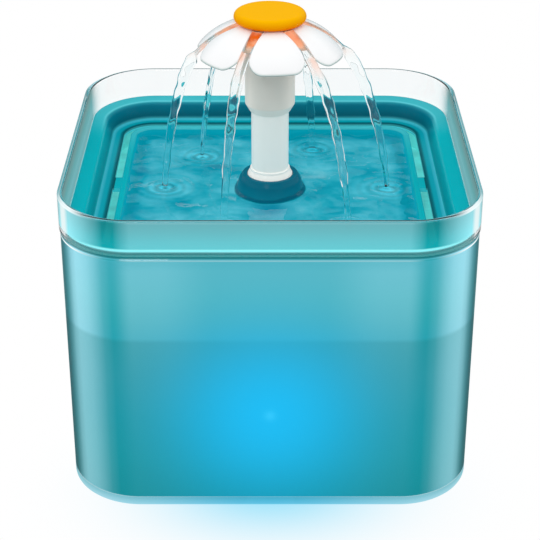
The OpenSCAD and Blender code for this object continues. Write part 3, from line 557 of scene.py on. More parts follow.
def liner_plastic():
    """Translucent teal styrene with water behind it and a blue lamp inside, drawn mostly as painted light
    that it gives off by itself. It is lighter above the waterline and has a painted dark band at its rim.
    Painted light and shade give each corner a dark line, a light column and a dark edge, in this order
    from the front, and the lamp's painted glow falls off as exp(-(d / spread)^2) from the lamp's spot on
    the front wall."""
    material, tree, where, axes = new_material("teal_translucent_styrene")
    _, angle = half_width(tree, axes)
    level = calc(tree, "DIVIDE", axes["Z"], RIM_Z)
    wet, dry = WATERLINE / RIM_Z - 0.008, WATERLINE / RIM_Z + 0.008
    # Darker towards the bottom, lighter above the waterline, and a painted dark band at the rim
    base = curve_of(tree, level, [
        (0.0, "#138d95"), (0.2, "#17939a"), (0.37, "#1d949c"), (0.53, "#2a969f"), (wet, "#26969f"),
        (dry, "#29a3af"), (0.76, "#2fa6b0"), (0.85, "#38abb5"), (0.985, "#40adbb"), (0.992, "#1c858c"),
        (1.0, "#2b9396")])
    # Painted reflections, added to the base: less below the waterline and dark at the rim
    light = curve_of(tree, level, [
        (0.0, "#81939a"), (wet, "#81939a"), (dry, "#95a2ab"), (0.985, "#95a2ab"), (0.992, "#404546"),
        (1.0, "#404546")])
    # A painted light column at each corner
    column = scaled(tree, angle, 90.0, [
        (0, 0), (17, 0), (24, 0.15), (31, 0.5), (38, 0.8), (45, 0.97), (51, 1.05), (56, 0.92), (60, 0.62),
        (64, 0.32), (68, 0.1), (72, 0), (90, 0)])
    # Painted reflection on the flat walls, growing with height and fading towards the corners
    flat = scaled(tree, level, 1.0, [
        (0, 0.03), (0.1, 0.04), (0.28, 0.06), (0.45, 0.1), (0.53, 0.12), (0.61, 0.18), (0.7, 0.26),
        (0.76, 0.32), (0.85, 0.36), (0.94, 0.38), (0.98, 0.27), (1, 0.27)])
    across = [calc(tree, "ABSOLUTE", axes[a]) for a in ("X", "Y")]
    middle = ramp(tree, calc(tree, "MINIMUM", *across), 20 * MM, 44 * MM, 0.5, 1.0)
    fade = calc(tree, "MAXIMUM", ramp(tree, angle, 0.0, 16.0, 1.0, 0.0), ramp(tree, angle, 74.0, 90.0))
    flat = product(tree, flat, middle, fade)
    # Painted shade towards each corner's edge
    darker = scaled(tree, angle, 90.0, [
        (0, 1), (50, 1), (57, 0.9), (61, 0.78), (65, 0.69), (70, 0.6), (77, 0.42), (84, 0.42), (90, 1)])
    tone = plus(tree, base, times(tree, light, calc(tree, "ADD", column, flat)))
    tone = times(tree, tone, darker)
    # Most of its tone is given off as painted light, with the lamp's painted glow on the front wall
    lit = times(tree, tone, LINER_SHINE)
    for spread, code in ((39 * MM, "#18b8f1"), (2.2 * MM, "#30c6fb")):
        lit = blend(tree, glow_round(tree, where, (0.0, -LINER_OUT, LIGHT_Z), spread), lit, colour(code))
    finish_with(tree, principled(tree, {
        "Base Color": times(tree, tone, LINER_DULL), "Roughness": 0.4, "Specular IOR Level": 0.0,
        "Emission Color": lit, "Emission Strength": 1.0}))
    return material


def lit_case(name, code, strength):
    """Milky plastic or cotton lit from below by the lamp: pale, with a mint light of its own."""
    material, tree, where, _ = new_material(name)
    clouds = noise(tree, where, 120.0, 3.0)
    tone = times(tree, colour(code)[:3], ramp(tree, clouds, 0.3, 0.7, 0.9, 1.15))
    finish_with(tree, principled(tree, {
        "Base Color": tone, "Roughness": 0.6, "Emission Color": tone, "Emission Strength": strength}))
    return material


def cap_plastic():
    """Yellow ABS, moulded glossy: warm yellow on top, with painted shade that turns it orange down its side.
    """
    material, tree, _, axes = new_material("yellow_abs_moulded")
    # Painted shade: orange down its side, yellow on top
    height = ramp(tree, axes["Z"], CAP_HIGH[2] - 5 * MM, CAP_HIGH[2])
    tone = curve_of(tree, height, [(0.0, "#ff8200"), (0.35, "#ffa000"), (0.75, "#faac00"), (1.0, "#f2b200")])
    finish_with(tree, principled(tree, {"Base Color": tone, "Roughness": 0.3, "Specular IOR Level": 0.01}))
    return material


def petal_plastic():
    """White ABS, moulded and polished. Painted shade turns its rounded rim grey-green where it turns under.
    """
    material, tree, where, _ = new_material("white_abs_polished")
    normal = add(tree, "ShaderNodeNewGeometry").outputs["Normal"]
    up = add(tree, "ShaderNodeSeparateXYZ", {"Vector": normal}).outputs["Z"]
    # Painted shade by the way the surface faces: grey-green facing down, white facing up
    tone = curve_of(tree, ramp(tree, up, -0.6, 0.62), [
        (0.0, "#9db2ad"), (0.4, "#d6e3e0"), (0.75, "#e3edea"), (1.0, "#fafbfc")])
    tone = times(tree, tone, ramp(tree, noise(tree, where, 60.0, 2.0), 0.2, 0.8, 0.985, 1.0))
    finish_with(tree, principled(tree, {"Base Color": tone, "Roughness": 0.22, "Specular IOR Level": 0.4}))
    return material


def orange_plastic():
    """Orange ABS, moulded glossy, with a painted glow, and a painted sheen of the water over it that turns it
    pale towards its edge.
    """
    material, tree, _, axes = new_material("orange_abs_moulded")
    r = length_of(tree, flat_vector(tree, axes["X"], axes["Y"]))
    # Painted sheen of the water over it: pale towards its edge
    tone = curve_of(tree, calc(tree, "DIVIDE", r, SPREADER_R), [
        (0.0, "#ff6400"), (0.78, "#ff6c10"), (0.9, "#ff9048"), (1.0, "#ffcdb4")])
    # It gives off a painted glow
    finish_with(tree, principled(tree, {
        "Base Color": tone, "Roughness": 0.3, "Specular IOR Level": 0.2, "Emission Color": tone,
        "Emission Strength": 0.3}))
    return material


def pool_light(tree, where, flat, out):
    """Painted light on the basin's floor, standing in for light that comes up through it as the water above
    bends it: swells that pale towards the middle, a painted dark reflection of the boss in front of it, and
    rings round each landing of a stream."""
    level = product(tree, noise(tree, where, 70.0, 4.0),
                    ramp(tree, out, BASIN_HALF - 15 * MM, BASIN_HALF - 2 * MM, 1.5, 0.5))
    pool = curve_of(tree, level, [(0.2, "#008098"), (0.38, "#1296aa"), (0.6, "#3eaabc"), (0.85, "#64bac8")])
    # A painted dark reflection of the boss in the water in front of it
    shade = glow_round(tree, flat, (0.0, -21 * MM, 0.0), 8 * MM)
    pool = blend(tree, calc(tree, "MULTIPLY", shade, 0.7), pool, colour("#00708f"))
    # A ragged painted dark margin where the basin's wall shows
    ragged = calc(tree, "ADD", out, calc(tree, "MULTIPLY", noise(tree, where, 140.0, 1.0), 12 * MM))
    margin = ramp(tree, ragged, BASIN_HALF + 1.2 * MM, BASIN_HALF + 1.9 * MM)
    pool = blend(tree, margin, pool, colour("#00879a"))
    # Painted rings of light round each landing
    for place in LANDINGS:
        d = distance_to(tree, flat, (*place.tolist(), 0.0))
        fades = calc(tree, "MULTIPLY", calc(tree, "EXPONENT", calc(tree, "DIVIDE", d, -4.5 * MM)), -0.55)
        wave = calc(tree, "COSINE", calc(tree, "MULTIPLY", d, 2 * math.pi / (4 * MM)))
        pool = times(tree, pool, calc(tree, "ADD", product(tree, wave, fades), 1.0))
    return pool


def tray_plastic():
    """Teal ABS, moulded glossy. Painted sheen makes the flange lighter towards the back. Painted shade
    darkens the slope inside the flange towards the back and the boss towards its top, a painted highlight
    runs along the flange's inner edge at the back, and the gutter carries painted shade and light. The
    basin's floor, the walls of the drain slot and the flange's outer edge carry painted light, standing in
    for light that comes up from the lamp."""
    material, tree, where, axes = new_material("teal_abs_moulded")
    z = axes["Z"]
    out, _ = half_width(tree, axes)
    flat = flat_vector(tree, axes["X"], axes["Y"])
    r = length_of(tree, flat)

    back = ramp(tree, axes["Y"], 30 * MM, 68 * MM)
    tone = curve_of(tree, noise(tree, where, 30.0, 2.0), [(0.3, "#00acb8"), (0.7, "#00b4c0")])
    # Painted sheen: the flange lighter towards the back
    tone = blend(tree, back, tone, colour("#44bfca"))
    # Painted shade on the slope inside the flange: darker towards the back and lower down
    slope = curve_of(tree, back, [(0.0, "#02b0bc"), (0.5, "#028fa0"), (1.0, "#04788e")])
    slope = times(tree, slope, ramp(tree, z, GUTTER_Z, FLANGE_TOP - 2 * MM, 0.6, 1.0))
    walls = product(tree, ramp(tree, out, FLANGE_IN - 0.6 * MM, FLANGE_IN + 2.2 * MM, 1.0, 0.0),
                    ramp(tree, z, GUTTER_Z - 0.2 * MM, GUTTER_Z + 2 * MM))
    tone = blend(tree, walls, tone, slope)
    # A painted highlight along the flange's inner edge, at the back
    lip = product(tree, band(tree, out, FLANGE_IN + 0.9 * MM, FLANGE_IN + 1.7 * MM, 0.5 * MM), back)
    tone = blend(tree, lip, tone, colour("#62d2dc"))
    # Painted shade and highlight across the gutter: dark beside the drain slot, light at its outer side
    gutter = product(tree, band(tree, out, SLOT_OUT - 0.5 * MM, GUTTER_HALF),
                     band(tree, z, GUTTER_Z - MM, GUTTER_Z + 0.6 * MM))
    tone = blend(tree, gutter, tone, curve_of(tree, ramp(tree, out, SLOT_OUT, GUTTER_HALF), [
        (0.0, "#005660"), (0.12, "#046f7c"), (0.35, "#02a2b2"), (0.75, "#08a6b8"), (1.0, "#3cbcd0")]))
    # Painted shade on the boss, darker towards its top
    boss = product(tree, ramp(tree, r, BOSS_R + 0.6 * MM, BOSS_R + MM, 1.0, 0.0),
                   ramp(tree, z, BASIN_Z + 0.2 * MM, BASIN_Z + 1.2 * MM))
    tone = blend(tree, boss, tone, curve_of(tree, ramp(tree, z, 104 * MM, BOSS_TOP), [
        (0.0, "#0d8096"), (1.0, "#066a82")]))

    # Painted light of its own: the basin, the drain slot and the flange's outer edge
    basin = product(tree, band(tree, out, -BASIN_HALF, BASIN_HALF),
                    band(tree, z, BASIN_Z - MM, GUTTER_Z - 0.7 * MM),
                    ramp(tree, r, BOSS_R, BOSS_R + 0.6 * MM))
    pool = pool_light(tree, where, flat, out)
    tone = blend(tree, basin, tone, times(tree, pool, 0.5))
    glow = blend(tree, basin, (0.0, 0.0, 0.0, 1.0), times(tree, pool, 0.95))
    slot = product(tree, band(tree, out, SLOT_IN - 0.2 * MM, SLOT_OUT + 0.2 * MM),
                   band(tree, z, GUTTER_Z - 4 * MM, GUTTER_Z - 0.25 * MM))
    glow = blend(tree, slot, glow, colour("#2a7276"))
    # On the flange's outer edge, seen through the clear collar: painted shade below, a painted bright line
    # above
    edge = product(tree, band(tree, out, FLANGE_HALF - 0.25 * MM, FLANGE_HALF + MM),
                   ramp(tree, z, RIM_Z - 1.2 * MM, RIM_Z - MM))
    tone = times(tree, tone, ramp(tree, edge, 0.0, 1.0, 1.0, 0.1))
    glow = blend(tree, edge, glow, curve_of(tree, ramp(tree, z, RIM_Z, FLANGE_TOP), [
        (0.0, "#207478"), (0.15, "#2c8084"), (0.34, "#62aab0"), (0.42, "#84f0f6"), (0.85, "#92fcff"),
        (0.95, "#40b8c0")]))
    finish_with(tree, principled(tree, {
        "Base Color": tone, "Roughness": 0.18, "Specular IOR Level": 0.06, "Emission Color": glow,
        "Emission Strength": 1.0}))
    return material


CLEAR = clear_plastic()
WATER = water()
LINER = liner_plastic()
TRAY = tray_plastic()
# The white parts give off a painted glow, and a painted sheen where they turn away from the eye
WHITE = moulded("white_abs_moulded", "#f2f1ec", roughness=0.32, specular=0.3, shade=0.02, glow=0.12, rim=0.04)
SLEEVE = moulded("white_abs_satin", "#e6dfd6", roughness=0.4, specular=0.3, shade=0.02, glow=0.06, rim=0.15)
PETAL = petal_plastic()
ORANGE = orange_plastic()
YELLOW = cap_plastic()


# ---- Tank ----

def build_tank():
    """The shell, and the liner that sits in it wet, so that no air shows between the two."""
    base = outline_base()
    groove = BODY_HALF - 0.5 * MM
    wall = rounded([
        (0, 0), (BODY_HALF, 0), (BODY_HALF, STEP_Z - 0.9 * MM), (groove, STEP_Z - 0.2 * MM),
        (groove, STEP_Z + 0.1 * MM), (TANK_HALF, STEP_Z + 0.9 * MM), (TANK_HALF, TANK_TOP),
        (SHELL_IN, TANK_TOP), (SHELL_IN, TANK_FLOOR), (0, TANK_FLOOR)],
        [0, 2.2, 0.5, 0.15, 0.15, 0.5, 0.9, 0.9, 1.5, 0])
    piece("clear_shell", [skin(swept(wall, base))], CLEAR, "tank",
          ["clear_floor", "clear_walls", "clear_corners"])

    sunk = 0.04 * MM
    low, out = TANK_FLOOR - sunk, SHELL_IN + sunk
    cup = rounded([
        (0, low), (out, low), (out, RIM_Z), (LINER_IN, RIM_Z), (LINER_IN, LINER_FLOOR), (0, LINER_FLOOR)],
        [0, 1.2, 0.6, 0.6, 3, 0])
    piece("teal_liner", [skin(swept(cup, base))], LINER, "tank",
          ["liner_floor", "liner_walls", "liner_corners"])


# ---- Tray ----

def round_to_square(hole_r, half, steps, base):
    """Loops that pass from a circle to a rounded square, evenly over the given number of steps."""
    square = square_loops([half], base)[:, 0]
    ray = square / np.linalg.norm(square, axis=1, keepdims=True)
    t = np.linspace(0, 1, steps)[None, :, None]
    return (1 - t) * (ray * hole_r)[:, None] + t * square[:, None]


def build_tray():
    base = outline_base()
    under = GUTTER_Z - TRAY_WALL
    skirt_out, skirt_z = GUTTER_HALF + TRAY_WALL, under - SKIRT_H
    outer = rounded([
        (SLOT_OUT, GUTTER_Z), (GUTTER_HALF, GUTTER_Z), (FLANGE_IN, FLANGE_TOP - FLANGE_DROP),
        (FLANGE_HALF, FLANGE_TOP), (FLANGE_HALF, RIM_Z), (FLANGE_IN + TRAY_WALL + MM, RIM_Z),
        (skirt_out, RIM_Z - 1.1 * MM), (skirt_out, skirt_z), (GUTTER_HALF, skirt_z), (GUTTER_HALF, under),
        (SLOT_OUT, under)], [0.5, 1.6, 2.2, 0.9, 0.4, 0.3, 1.0, 0.5, 0.5, 0.3, 0.5])
    ring = skin(swept(outer, base), close_v=True)

    floor_half, floor_under = BASIN_HALF - 6 * MM, BASIN_Z - TRAY_WALL
    rim = rounded([
        (floor_half, BASIN_Z), (BASIN_HALF - 2 * MM, BASIN_Z), (BASIN_HALF, GUTTER_Z), (SLOT_IN, GUTTER_Z),
        (SLOT_IN, under), (BASIN_HALF + MM, under), (BASIN_HALF - MM, floor_under),
        (floor_half, floor_under)], [0, 1.5, 0.9, 0.5, 0.5, 0.3, 1.0, 0])
    floor = round_to_square(13.5 * MM, floor_half, 12, base)[:, :-1]
    up = np.full(floor.shape[:2] + (1,), BASIN_Z)
    top = np.concatenate([floor, up], 2)
    bottom = np.concatenate([floor, up - TRAY_WALL], 2)[:, ::-1]
    dish = skin(np.concatenate([top, swept(rim, base), bottom], 1), close_v=True)

    guide_r, seat_r = 10 * MM, 9.5 * MM
    boss = rounded([
        (RISER_HOLE, GUIDE_Z), (guide_r, GUIDE_Z), (guide_r, floor_under), (14.4 * MM, floor_under),
        (14.8 * MM, BASIN_Z), (BOSS_WET_R, POOL_Z), (12.9 * MM, 110.6 * MM), (11.5 * MM, BOSS_TOP),
        (seat_r, BOSS_TOP), (seat_r, DISH_SEAT), (RISER_HOLE, DISH_SEAT)],
        [0.3, 0.3, 0.2, 0.2, 0.5, 3.0, 3.5, 0.8, 0.4, 0.2, 0.2])
    web = rounded_bar((SLOT_IN - MM, -WEB / 2, under + 0.1 * MM),
                      (SLOT_OUT + MM, WEB / 2, GUTTER_Z - 0.05 * MM), 0.12)
    webs = [web, web * [-1, 1, 1], web[..., [1, 0, 2]], web[..., [1, 0, 2]] * [1, -1, 1]]
    parts = [ring, dish, lathed(boss)] + [skin(w) for w in webs]
    piece("tray_moulding", parts, TRAY, "tray",
          ["drinking_tray", "tray_sides", "tray_corners", "tray_boss"])


# ---- Riser and flower ----

def build_riser():
    # The small band on top of the dish's cone
    band_r, band_z = 8.3 * MM, 114.6 * MM
    band_top = band_z + 0.9 * MM
    tube = rounded([
        (RISER_BORE, RISER_LOW[2]), (RISER_R, RISER_LOW[2]), (RISER_R, DISH_SEAT), (DISH_R, DISH_SEAT),
        (DISH_R, BOSS_TOP), (band_r, band_z), (band_r, band_top), (RISER_R, band_top),
        (RISER_R, RISER_HIGH[2]), (RISER_BORE, RISER_HIGH[2])],
        [0.3, 0.3, 0.1, 0.2, 0.5, 0.3, 0.3, 0.2, 0.3, 0.3])
    piece("riser_moulding", [lathed(tube)], WHITE, "riser", ["riser_tube"])

    low, high, shoulder = SLEEVE_LOW[2], SLEEVE_HIGH[2], RISER_HIGH[2] + 0.05 * MM
    collar = rounded([
        (RISER_HOLE, low), (8.4 * MM, low), (SLEEVE_R, low + 3.3 * MM), (SLEEVE_R, high), (NECK_R, high),
        (NECK_R, shoulder), (RISER_HOLE, shoulder)], [0.2, 0.4, 1.2, 0.5, 0.2, 0.2, 0.2])
    piece("sleeve_moulding", [lathed(collar)], SLEEVE, "sleeve", ["flower_sleeve"])


def dome(r, radius):
    """Points (r, height) of a sphere that has its centre where the petals' sphere has it."""
    return np.stack([r, DOME_Z + np.sqrt(radius * radius - r * r)], -1)


def build_spreader():
    upper, lower = DOME_R - PETAL_T - 0.3 * MM, DOME_R - PETAL_T - 1.9 * MM
    foot = 8 * MM
    profile = np.concatenate([
        dome(np.linspace(NECK_R, SPREADER_R, 16), upper), dome(np.linspace(SPREADER_R, foot, 12), lower),
        [(foot, SLEEVE_HIGH[2]), (NECK_R, SLEEVE_HIGH[2])]])
    piece("orange_cone", [lathed(profile)], ORANGE, "spreader", ["orange_spreader"])


def petal_outline(steps=120):
    """Plan of a petal along +X. In a frame turned with one side of it, that side runs along x at y = h,
    the corner is an arc of radius c about (sqrt((R - c)^2 - (h + c)^2), h + c), and the tip is an arc of
    radius R about the axis. The other half is its mirror image, and all of it is resampled evenly."""
    turn = math.pi / PETALS + PETAL_LEAN
    up = PETAL_SIDE + PETAL_CORNER
    run = math.sqrt((TIP_R - PETAL_CORNER) ** 2 - up * up)
    bend = np.linspace(-math.pi / 2, math.atan2(up, run), 24)
    tip = np.linspace(bend[-1], turn, 12)[1:]
    corner = np.stack([run + PETAL_CORNER * np.cos(bend), up + PETAL_CORNER * np.sin(bend)], 1)
    side = np.concatenate([
        [(9 * MM, PETAL_SIDE)], corner, TIP_R * np.stack([np.cos(tip), np.sin(tip)], 1)])
    side = side @ np.array([[math.cos(turn), -math.sin(turn)], [math.sin(turn), math.cos(turn)]])
    line = np.concatenate([side, side[-2::-1] * [1, -1]])
    line = np.concatenate([line, line[:1]])
    run = np.concatenate([[0], np.cumsum(np.linalg.norm(np.diff(line, axis=0), axis=1))])
    even = np.linspace(0, run[-1], steps, endpoint=False)
    return np.stack([np.interp(even, run, line[:, k]) for k in (0, 1)], 1)


def petal_skin(turn):
    """A petal as an inflated outline: each ray from the middle to the outline carries a top and a
    bottom that lie above and below the dome by half the thickness times (1 - s^4)^(1/4), s being the
    share of the ray, so the rim is round and stands upright."""
    line = petal_outline()
    middle = np.array([20 * MM, 0])
    reach = 12 * MM
    s = np.sin(np.linspace(0, math.pi / 2, 22))
    lift = PETAL_T / 2 * (1 - s ** 4) ** (1 / 4)
    s, lift = np.concatenate([s, s[-2::-1]]), np.concatenate([lift, -lift[-2::-1]])
    plan = middle + (line - middle)[:, None] * s[None, :, None]
    # The petal is arched across by this height, less and less towards its root
    arch = 0.5 * MM
    crown = arch * (1 - (plan[..., 1] / reach) ** 2) * np.clip((plan[..., 0] - reach) / reach, 0, 1)
    r = np.linalg.norm(plan, axis=2)
    middle_r = DOME_R - PETAL_T / 2
    up = np.concatenate([plan, np.sqrt(middle_r ** 2 - r ** 2)[..., None]], 2) / middle_r
    at = up * (middle_r - arch + crown[..., None])
    x, y, z = at[..., 0], at[..., 1], at[..., 2] + lift
    return skin(np.stack([x * math.cos(turn) - y * math.sin(turn), x * math.sin(turn) + y * math.cos(turn),
                          z + DOME_Z], 2))


def build_petals():
    petals = [petal_skin(turn + PETAL_STEP / 2) for turn in CHANNEL_TURNS]
    r = np.linspace(7.2 * MM, 11 * MM, 8)
    ring = np.concatenate([dome(r, DOME_R - 0.3 * MM), dome(r[::-1], DOME_R - PETAL_T + 0.1 * MM)])
    piece("petal_moulding", petals + [lathed(ring)], PETAL, "blossom", ["flower_petals"])


def build_cap():
    """A flat cap: its side is the curve (r - w + w cos(a)^0.8, h sin(a)), and a crossed stem hangs
    under it."""
    low, high = CAP_HIGH[2] - 4.8 * MM, CAP_HIGH[2]
    wide, tall = 2.7 * MM, 2.3 * MM
    side = arc_steps(16, 90, -75)
    bulge = np.stack([CAP_R - wide + wide * np.sign(np.cos(side)) * np.abs(np.cos(side)) ** 0.8,
                      (low + high) / 2 + tall * np.sin(side)], 1)
    top = [(0, high - 0.02 * MM), (6 * MM, high - 0.06 * MM)]
    roof = high - 1.6 * MM
    under = [(12.2 * MM, low + 0.1 * MM), (12 * MM, roof), (0, roof)]
    rib = rounded_bar((-4.8 * MM, -0.8 * MM, CAP_LOW[2]), (4.8 * MM, 0.8 * MM, high - MM), 0.15)
    parts = [skin(turned(np.concatenate([top, bulge, under]))), skin(rib), skin(rib[..., [1, 0, 2]])]
    piece("cap_moulding", parts, YELLOW, "cap", ["flower_cap"])


# ---- Water ----

def pool_height(x, y):
    """Height of the pool: rings that fade out from each landing, a dimple at each landing, a raised
    lip round the boss, and a few crossing swells."""
    z = np.zeros_like(x)
    for k, (cx, cy) in enumerate(LANDINGS):
        d = np.hypot(x - cx, y - cy)
        z += 0.5 * MM * np.exp(-d / (5 * MM)) * np.cos(2 * math.pi * d / (4.6 * MM) - 0.7 * k)
        z -= 0.9 * MM * np.exp(-(d / (2.4 * MM)) ** 2)
    for k in range(9):
        a, wave = 0.9 * k + 0.3, (7 + 3.3 * k) * MM
        along, across = x * math.cos(a) + y * math.sin(a), x * math.sin(a) - y * math.cos(a)
        bend = 0.8 * np.sin(2 * math.pi * across / (31 * MM) + k)
        z += 0.05 * MM * (1 + k / 3) * np.sin(2 * math.pi * along / wave + 1.7 * k + bend)
    z += 0.5 * MM * np.exp(-(np.hypot(x, y) - BOSS_WET_R) / (1.2 * MM))
    return z


def build_pool():
    base = outline_base(corner_steps=40, side_steps=90)
    hole, edge = 13.6 * MM, BASIN_HALF - 0.4 * MM
    loops = round_to_square(hole, edge, 120, base)
    z = POOL_Z + pool_height(loops[..., 0], loops[..., 1])
    top = np.concatenate([loops, z[..., None]], 2)
    few = round_to_square(hole, edge, 6, base)[:, ::-1]
    bottom = np.concatenate([few, np.full(few.shape[:2] + (1,), BASIN_Z - 0.4 * MM)], 2)
    pool = skin(np.concatenate([top, bottom], 1), close_v=True)
    piece("tray_water", [pool], WATER, "tray")


def stream_path(turn, landing, steps=90):
    """Middle line of a stream: along the petals' dome from under the cap to the tip, then a fall of
    0.42 t + 0.58 t^2 of the drop, with the way to the landing covered as 1 - (1 - t)^1.25."""
    slide = dome(np.linspace(12.5 * MM, TIP_R, 24), DOME_R - 1.2 * MM)
    on_dome = np.stack([slide[:, 0] * math.cos(turn), slide[:, 0] * math.sin(turn), slide[:, 1]], 1)
    t = np.linspace(0, 1, steps)[1:, None]
    start = on_dome[-1]
    plan = start[:2] + (landing - start[:2]) * (1 - (1 - t) ** 1.25)
    height = start[2] - (start[2] - POOL_Z) * (0.42 * t + 0.58 * t * t)
    return np.concatenate([on_dome, np.concatenate([plan, height], 1)])


def stream_skin(turn, landing, seed, steps=32):
    """A ribbon of water whose section is a dumbbell: half thickness (thin + (thick - thin) c^2)
    (1 - c^2)^0.35 at the share c of its half width. It narrows and twists as it falls, with small waves
    along it."""
    path = stream_path(turn, landing)
    forward = np.gradient(path, axis=0)
    forward /= np.linalg.norm(forward, axis=1, keepdims=True)
    side = np.array([-math.sin(turn), math.cos(turn), 0])
    up = np.cross(forward, side)
    # 0 on the flower, then up to 1 at the landing
    fallen = np.clip((np.linspace(0, 1, len(path)) - 0.2) / 0.8, 0, 1)
    loose = np.minimum(1, 3 * fallen)
    phase = np.random.default_rng(seed).uniform(0, 2 * math.pi, 6)
    wave = 0.16 * np.sin(31 * fallen + phase[0]) + 0.12 * np.sin(57 * fallen + phase[1])
    flare = 0.4 * np.clip(fallen / 0.1, 0, 1) * (1 - fallen)
    wide = ((1 - fallen) ** 0.8 + 1.25 + flare + wave * loose) * MM
    thin = (0.35 + 0.3 * fallen + 0.1 * np.sin(40 * fallen + phase[2]) * loose) * MM
    thick = (1.0 + 0.12 * np.sin(23 * fallen + phase[4])) * MM
    # A sheet that leaves to the left or right turns as it falls, so that its broad side faces the front
    settle = math.cos(turn) ** 4 * 1.25 * np.clip(fallen / 0.12, 0, 1) * np.sign(math.cos(turn))
    sway = 0.4 * np.sin(4 * fallen + phase[3]) + 0.25 * np.sin(11 * fallen + phase[5])
    twist = (settle + sway * fallen)[:, None]
    a = side * np.cos(twist) + up * np.sin(twist)
    b = -side * np.sin(twist) + up * np.cos(twist)
    theta = np.linspace(0, 2 * math.pi, steps, endpoint=False)[:, None]
    c, sign = np.cos(theta), np.sign(np.sin(theta).round(9))
    stand = (thin + (thick - thin) * c * c) * np.maximum(0, 1 - c * c) ** 0.35 * sign
    points = path[None] + (c * wide)[..., None] * a[None] + stand[..., None] * b[None]
    first, last = path[None, :1].repeat(steps, 0), path[None, -1:].repeat(steps, 0)
    return skin(np.concatenate([first, points, last], 1))


def build_streams():
    skins = [stream_skin(turn, LANDINGS[k], 11 + k) for k, turn in enumerate(CHANNEL_TURNS)]
    piece("water_streams", skins, WATER, "spreader")


# ---- CAD nodes that show as they are ----

def dress(material, *nodes):
    """Gives CAD nodes a finished material."""
    for name in nodes:
        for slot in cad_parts[name].material_slots:
            slot.material = material


def dress_inner_parts():
    dress(moulded("black_abs_grained", "#2b2e31", roughness=0.45, grain_mm=0.6, bump=0.2),
          "pump_housing", "volute_cover", "motor_end_cover", "intake_cover")
    dress(moulded("milky_silicone", "#c9d3d6", roughness=0.5), "outlet_connector", "suction_cups")
    dress(moulded("black_rubber_moulded", "#1b1c1d", roughness=0.7, bump=0.15),
          "cable_grommet", "pump_cable_gland", "rear_shaft_bush", "front_shaft_bush")
    dress(moulded("natural_acetal_moulded", "#dfe6e8", roughness=0.35),
          "impeller", "flow_regulator", "coil_bobbin")
    dress(moulded("laminated_steel", "#8b8e93", roughness=0.35, metallic=1.0), "stator_core")
    dress(moulded("enamelled_copper", "#b8683a", roughness=0.3, metallic=1.0), "coil_winding")
    dress(moulded("ferrite_sintered", "#2c2c30", roughness=0.5), "rotor_magnet")
    dress(moulded("alumina_ground", "#f1f0ea", roughness=0.2), "rotor_shaft")
    dress(moulded("solder_mask_green", "#0d5a3a", roughness=0.3), "driver_board", "led_board")
    dress(moulded("filter_foam_black", "#333336", roughness=0.9, grain_mm=1.2, bump=1.0),
          "filter_foam", "intake_sponge")
    dress(moulded("carbon_granules", "#1c1c1e", roughness=0.7, grain_mm=1.6, bump=1.0), "filter_carbon")
    dress(CLEAR, "led_window")
    dress(lit_case("milky_styrene_lit", "#62cac6", 0.35), "filter_case", "case_sides", "case_corners")
    dress(lit_case("filter_cotton_lit", "#62cac6", 0.5), "filter_cotton")


# ---- Stage, light and camera ----

def build_stage():
    """A white table that shines by itself. In front of the tank it carries the lamp's blue light."""
    half = 1.6
    corners = [(-half, -half, 0), (half, -half, 0), (half, half, 0), (-half, half, 0)]
    mesh = bpy.data.meshes.new("table_top")
    mesh.from_pydata(corners, [], [(0, 1, 2, 3)])
    material, tree, _, axes = new_material("white_table")
    # The light's spread sideways and towards the front
    wide, deep = 46 * MM, 32 * MM
    place = flat_vector(tree, calc(tree, "DIVIDE", axes["X"], wide), calc(tree, "DIVIDE", axes["Y"], deep))
    glow = glow_round(tree, place, (0.0, -70 * MM / deep, 0.0), 1.0)
    tint = blend(tree, glow, PURE_WHITE, colour("#9ce4fb"))
    rays = add(tree, "ShaderNodeLightPath").outputs
    direct = calc(tree, "MAXIMUM", rays["Is Camera Ray"], rays["Is Transmission Ray"])
    soft = ramp(tree, rays["Is Glossy Ray"], 0.0, 1.0, 0.5, 0.12)
    finish_with(tree, shine(tree, tint, calc(tree, "MAXIMUM", direct, soft)))
    mesh.materials.append(material)
    floor = show("table_top", mesh)


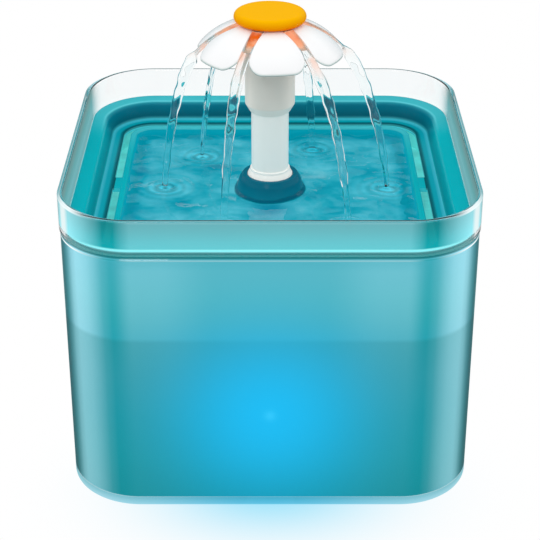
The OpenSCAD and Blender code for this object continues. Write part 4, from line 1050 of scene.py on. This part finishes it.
def build_world():
    """White to the eye and, downwards, through clear parts. Its soft light falls mostly from above and
    from the sides. For gloss it is a studio with bright sides and a bright, banded back, and with a
    darker front and top."""
    world = bpy.data.worlds.new("studio")
    bpy.context.scene.world = world
    world.use_nodes = True
    tree = world.node_tree
    tree.nodes.clear()
    rays = add(tree, "ShaderNodeLightPath").outputs
    where = add(tree, "ShaderNodeTexCoord").outputs["Generated"]
    axes = add(tree, "ShaderNodeSeparateXYZ", {"Vector": where}).outputs
    up = calc(tree, "MULTIPLY_ADD", axes["Z"], 0.5, 0.5)
    beside = calc(tree, "ABSOLUTE", axes["X"])
    around = calc(tree, "MAXIMUM", beside, calc(tree, "MULTIPLY", axes["Y"], 1.1))
    gloss = curve_of(tree, around, [(0.0, "#9a9a9a"), (0.5, "#a8a8a8"), (0.72, "#f4f4f4"), (1.0, "#ffffff")])
    gloss = blend(tree, ramp(tree, axes["Z"], 0.55, 0.72), gloss, colour("#7f8a8c"))
    behind = curve_of(tree, axes["Z"], [
        (0.0, "#3c8a94"), (0.44, "#20707c"), (0.58, "#c4eaee"), (0.72, "#7f8a8c")])
    gloss = blend(tree, ramp(tree, axes["Y"], 0.5, 0.75), gloss, behind)
    soft = curve_of(tree, up, [(0.0, "#9a9a9a"), (0.5, "#a6a6a6"), (0.75, "#f4f4f4"), (1.0, "#ffffff")])
    seen = curve_of(tree, up, [(0.0, "#ffffff"), (0.52, "#ffffff"), (0.62, "#6f9297"), (1.0, "#5f868c")])

    def light(tone, strength=1.0):
        return add(tree, "ShaderNodeBackground", {"Color": tone, "Strength": strength}).outputs[0]

    lit = light(soft, ramp(tree, beside, 0.2, 0.9, 1.1, 1.45))
    for kind, tone in (("Glossy", gloss), ("Transmission", seen), ("Camera", PURE_WHITE)):
        lit = mix(tree, rays[f"Is {kind} Ray"], lit, light(tone))
    finish_with(tree, lit, "ShaderNodeOutputWorld")


def build_softbox():
    """A square softbox at the upper left of the front, aimed at the tray."""
    lamp = bpy.data.lights.new("front_softbox", "AREA")
    lamp.size = 0.3
    lamp.energy = 1.2
    obj = show("front_softbox", lamp)
    obj.location = place = Vector((-0.25, -0.9, 0.9))
    obj.rotation_euler = (Vector((0, 0, 0.1)) - place).to_track_quat("-Z", "Y").to_euler()
    obj.visible_camera = False


def build_camera():
    camera = bpy.data.cameras.new("camera")
    camera.lens = 105.2
    camera.sensor_width = 36.0
    camera.clip_start = 0.01
    obj = show("camera", camera)
    obj.location = (0.0, -0.610, 0.382)
    obj.rotation_euler = (math.radians(90 - 27.37), 0.0, 0.0)
    bpy.context.scene.camera = obj


build_camera()
build_tank()
build_tray()
build_riser()
build_spreader()
build_petals()
build_cap()
build_pool()
build_streams()
dress_inner_parts()
build_stage()
build_world()
build_softbox()
bpy.context.scene.view_settings.view_transform = "Standard"
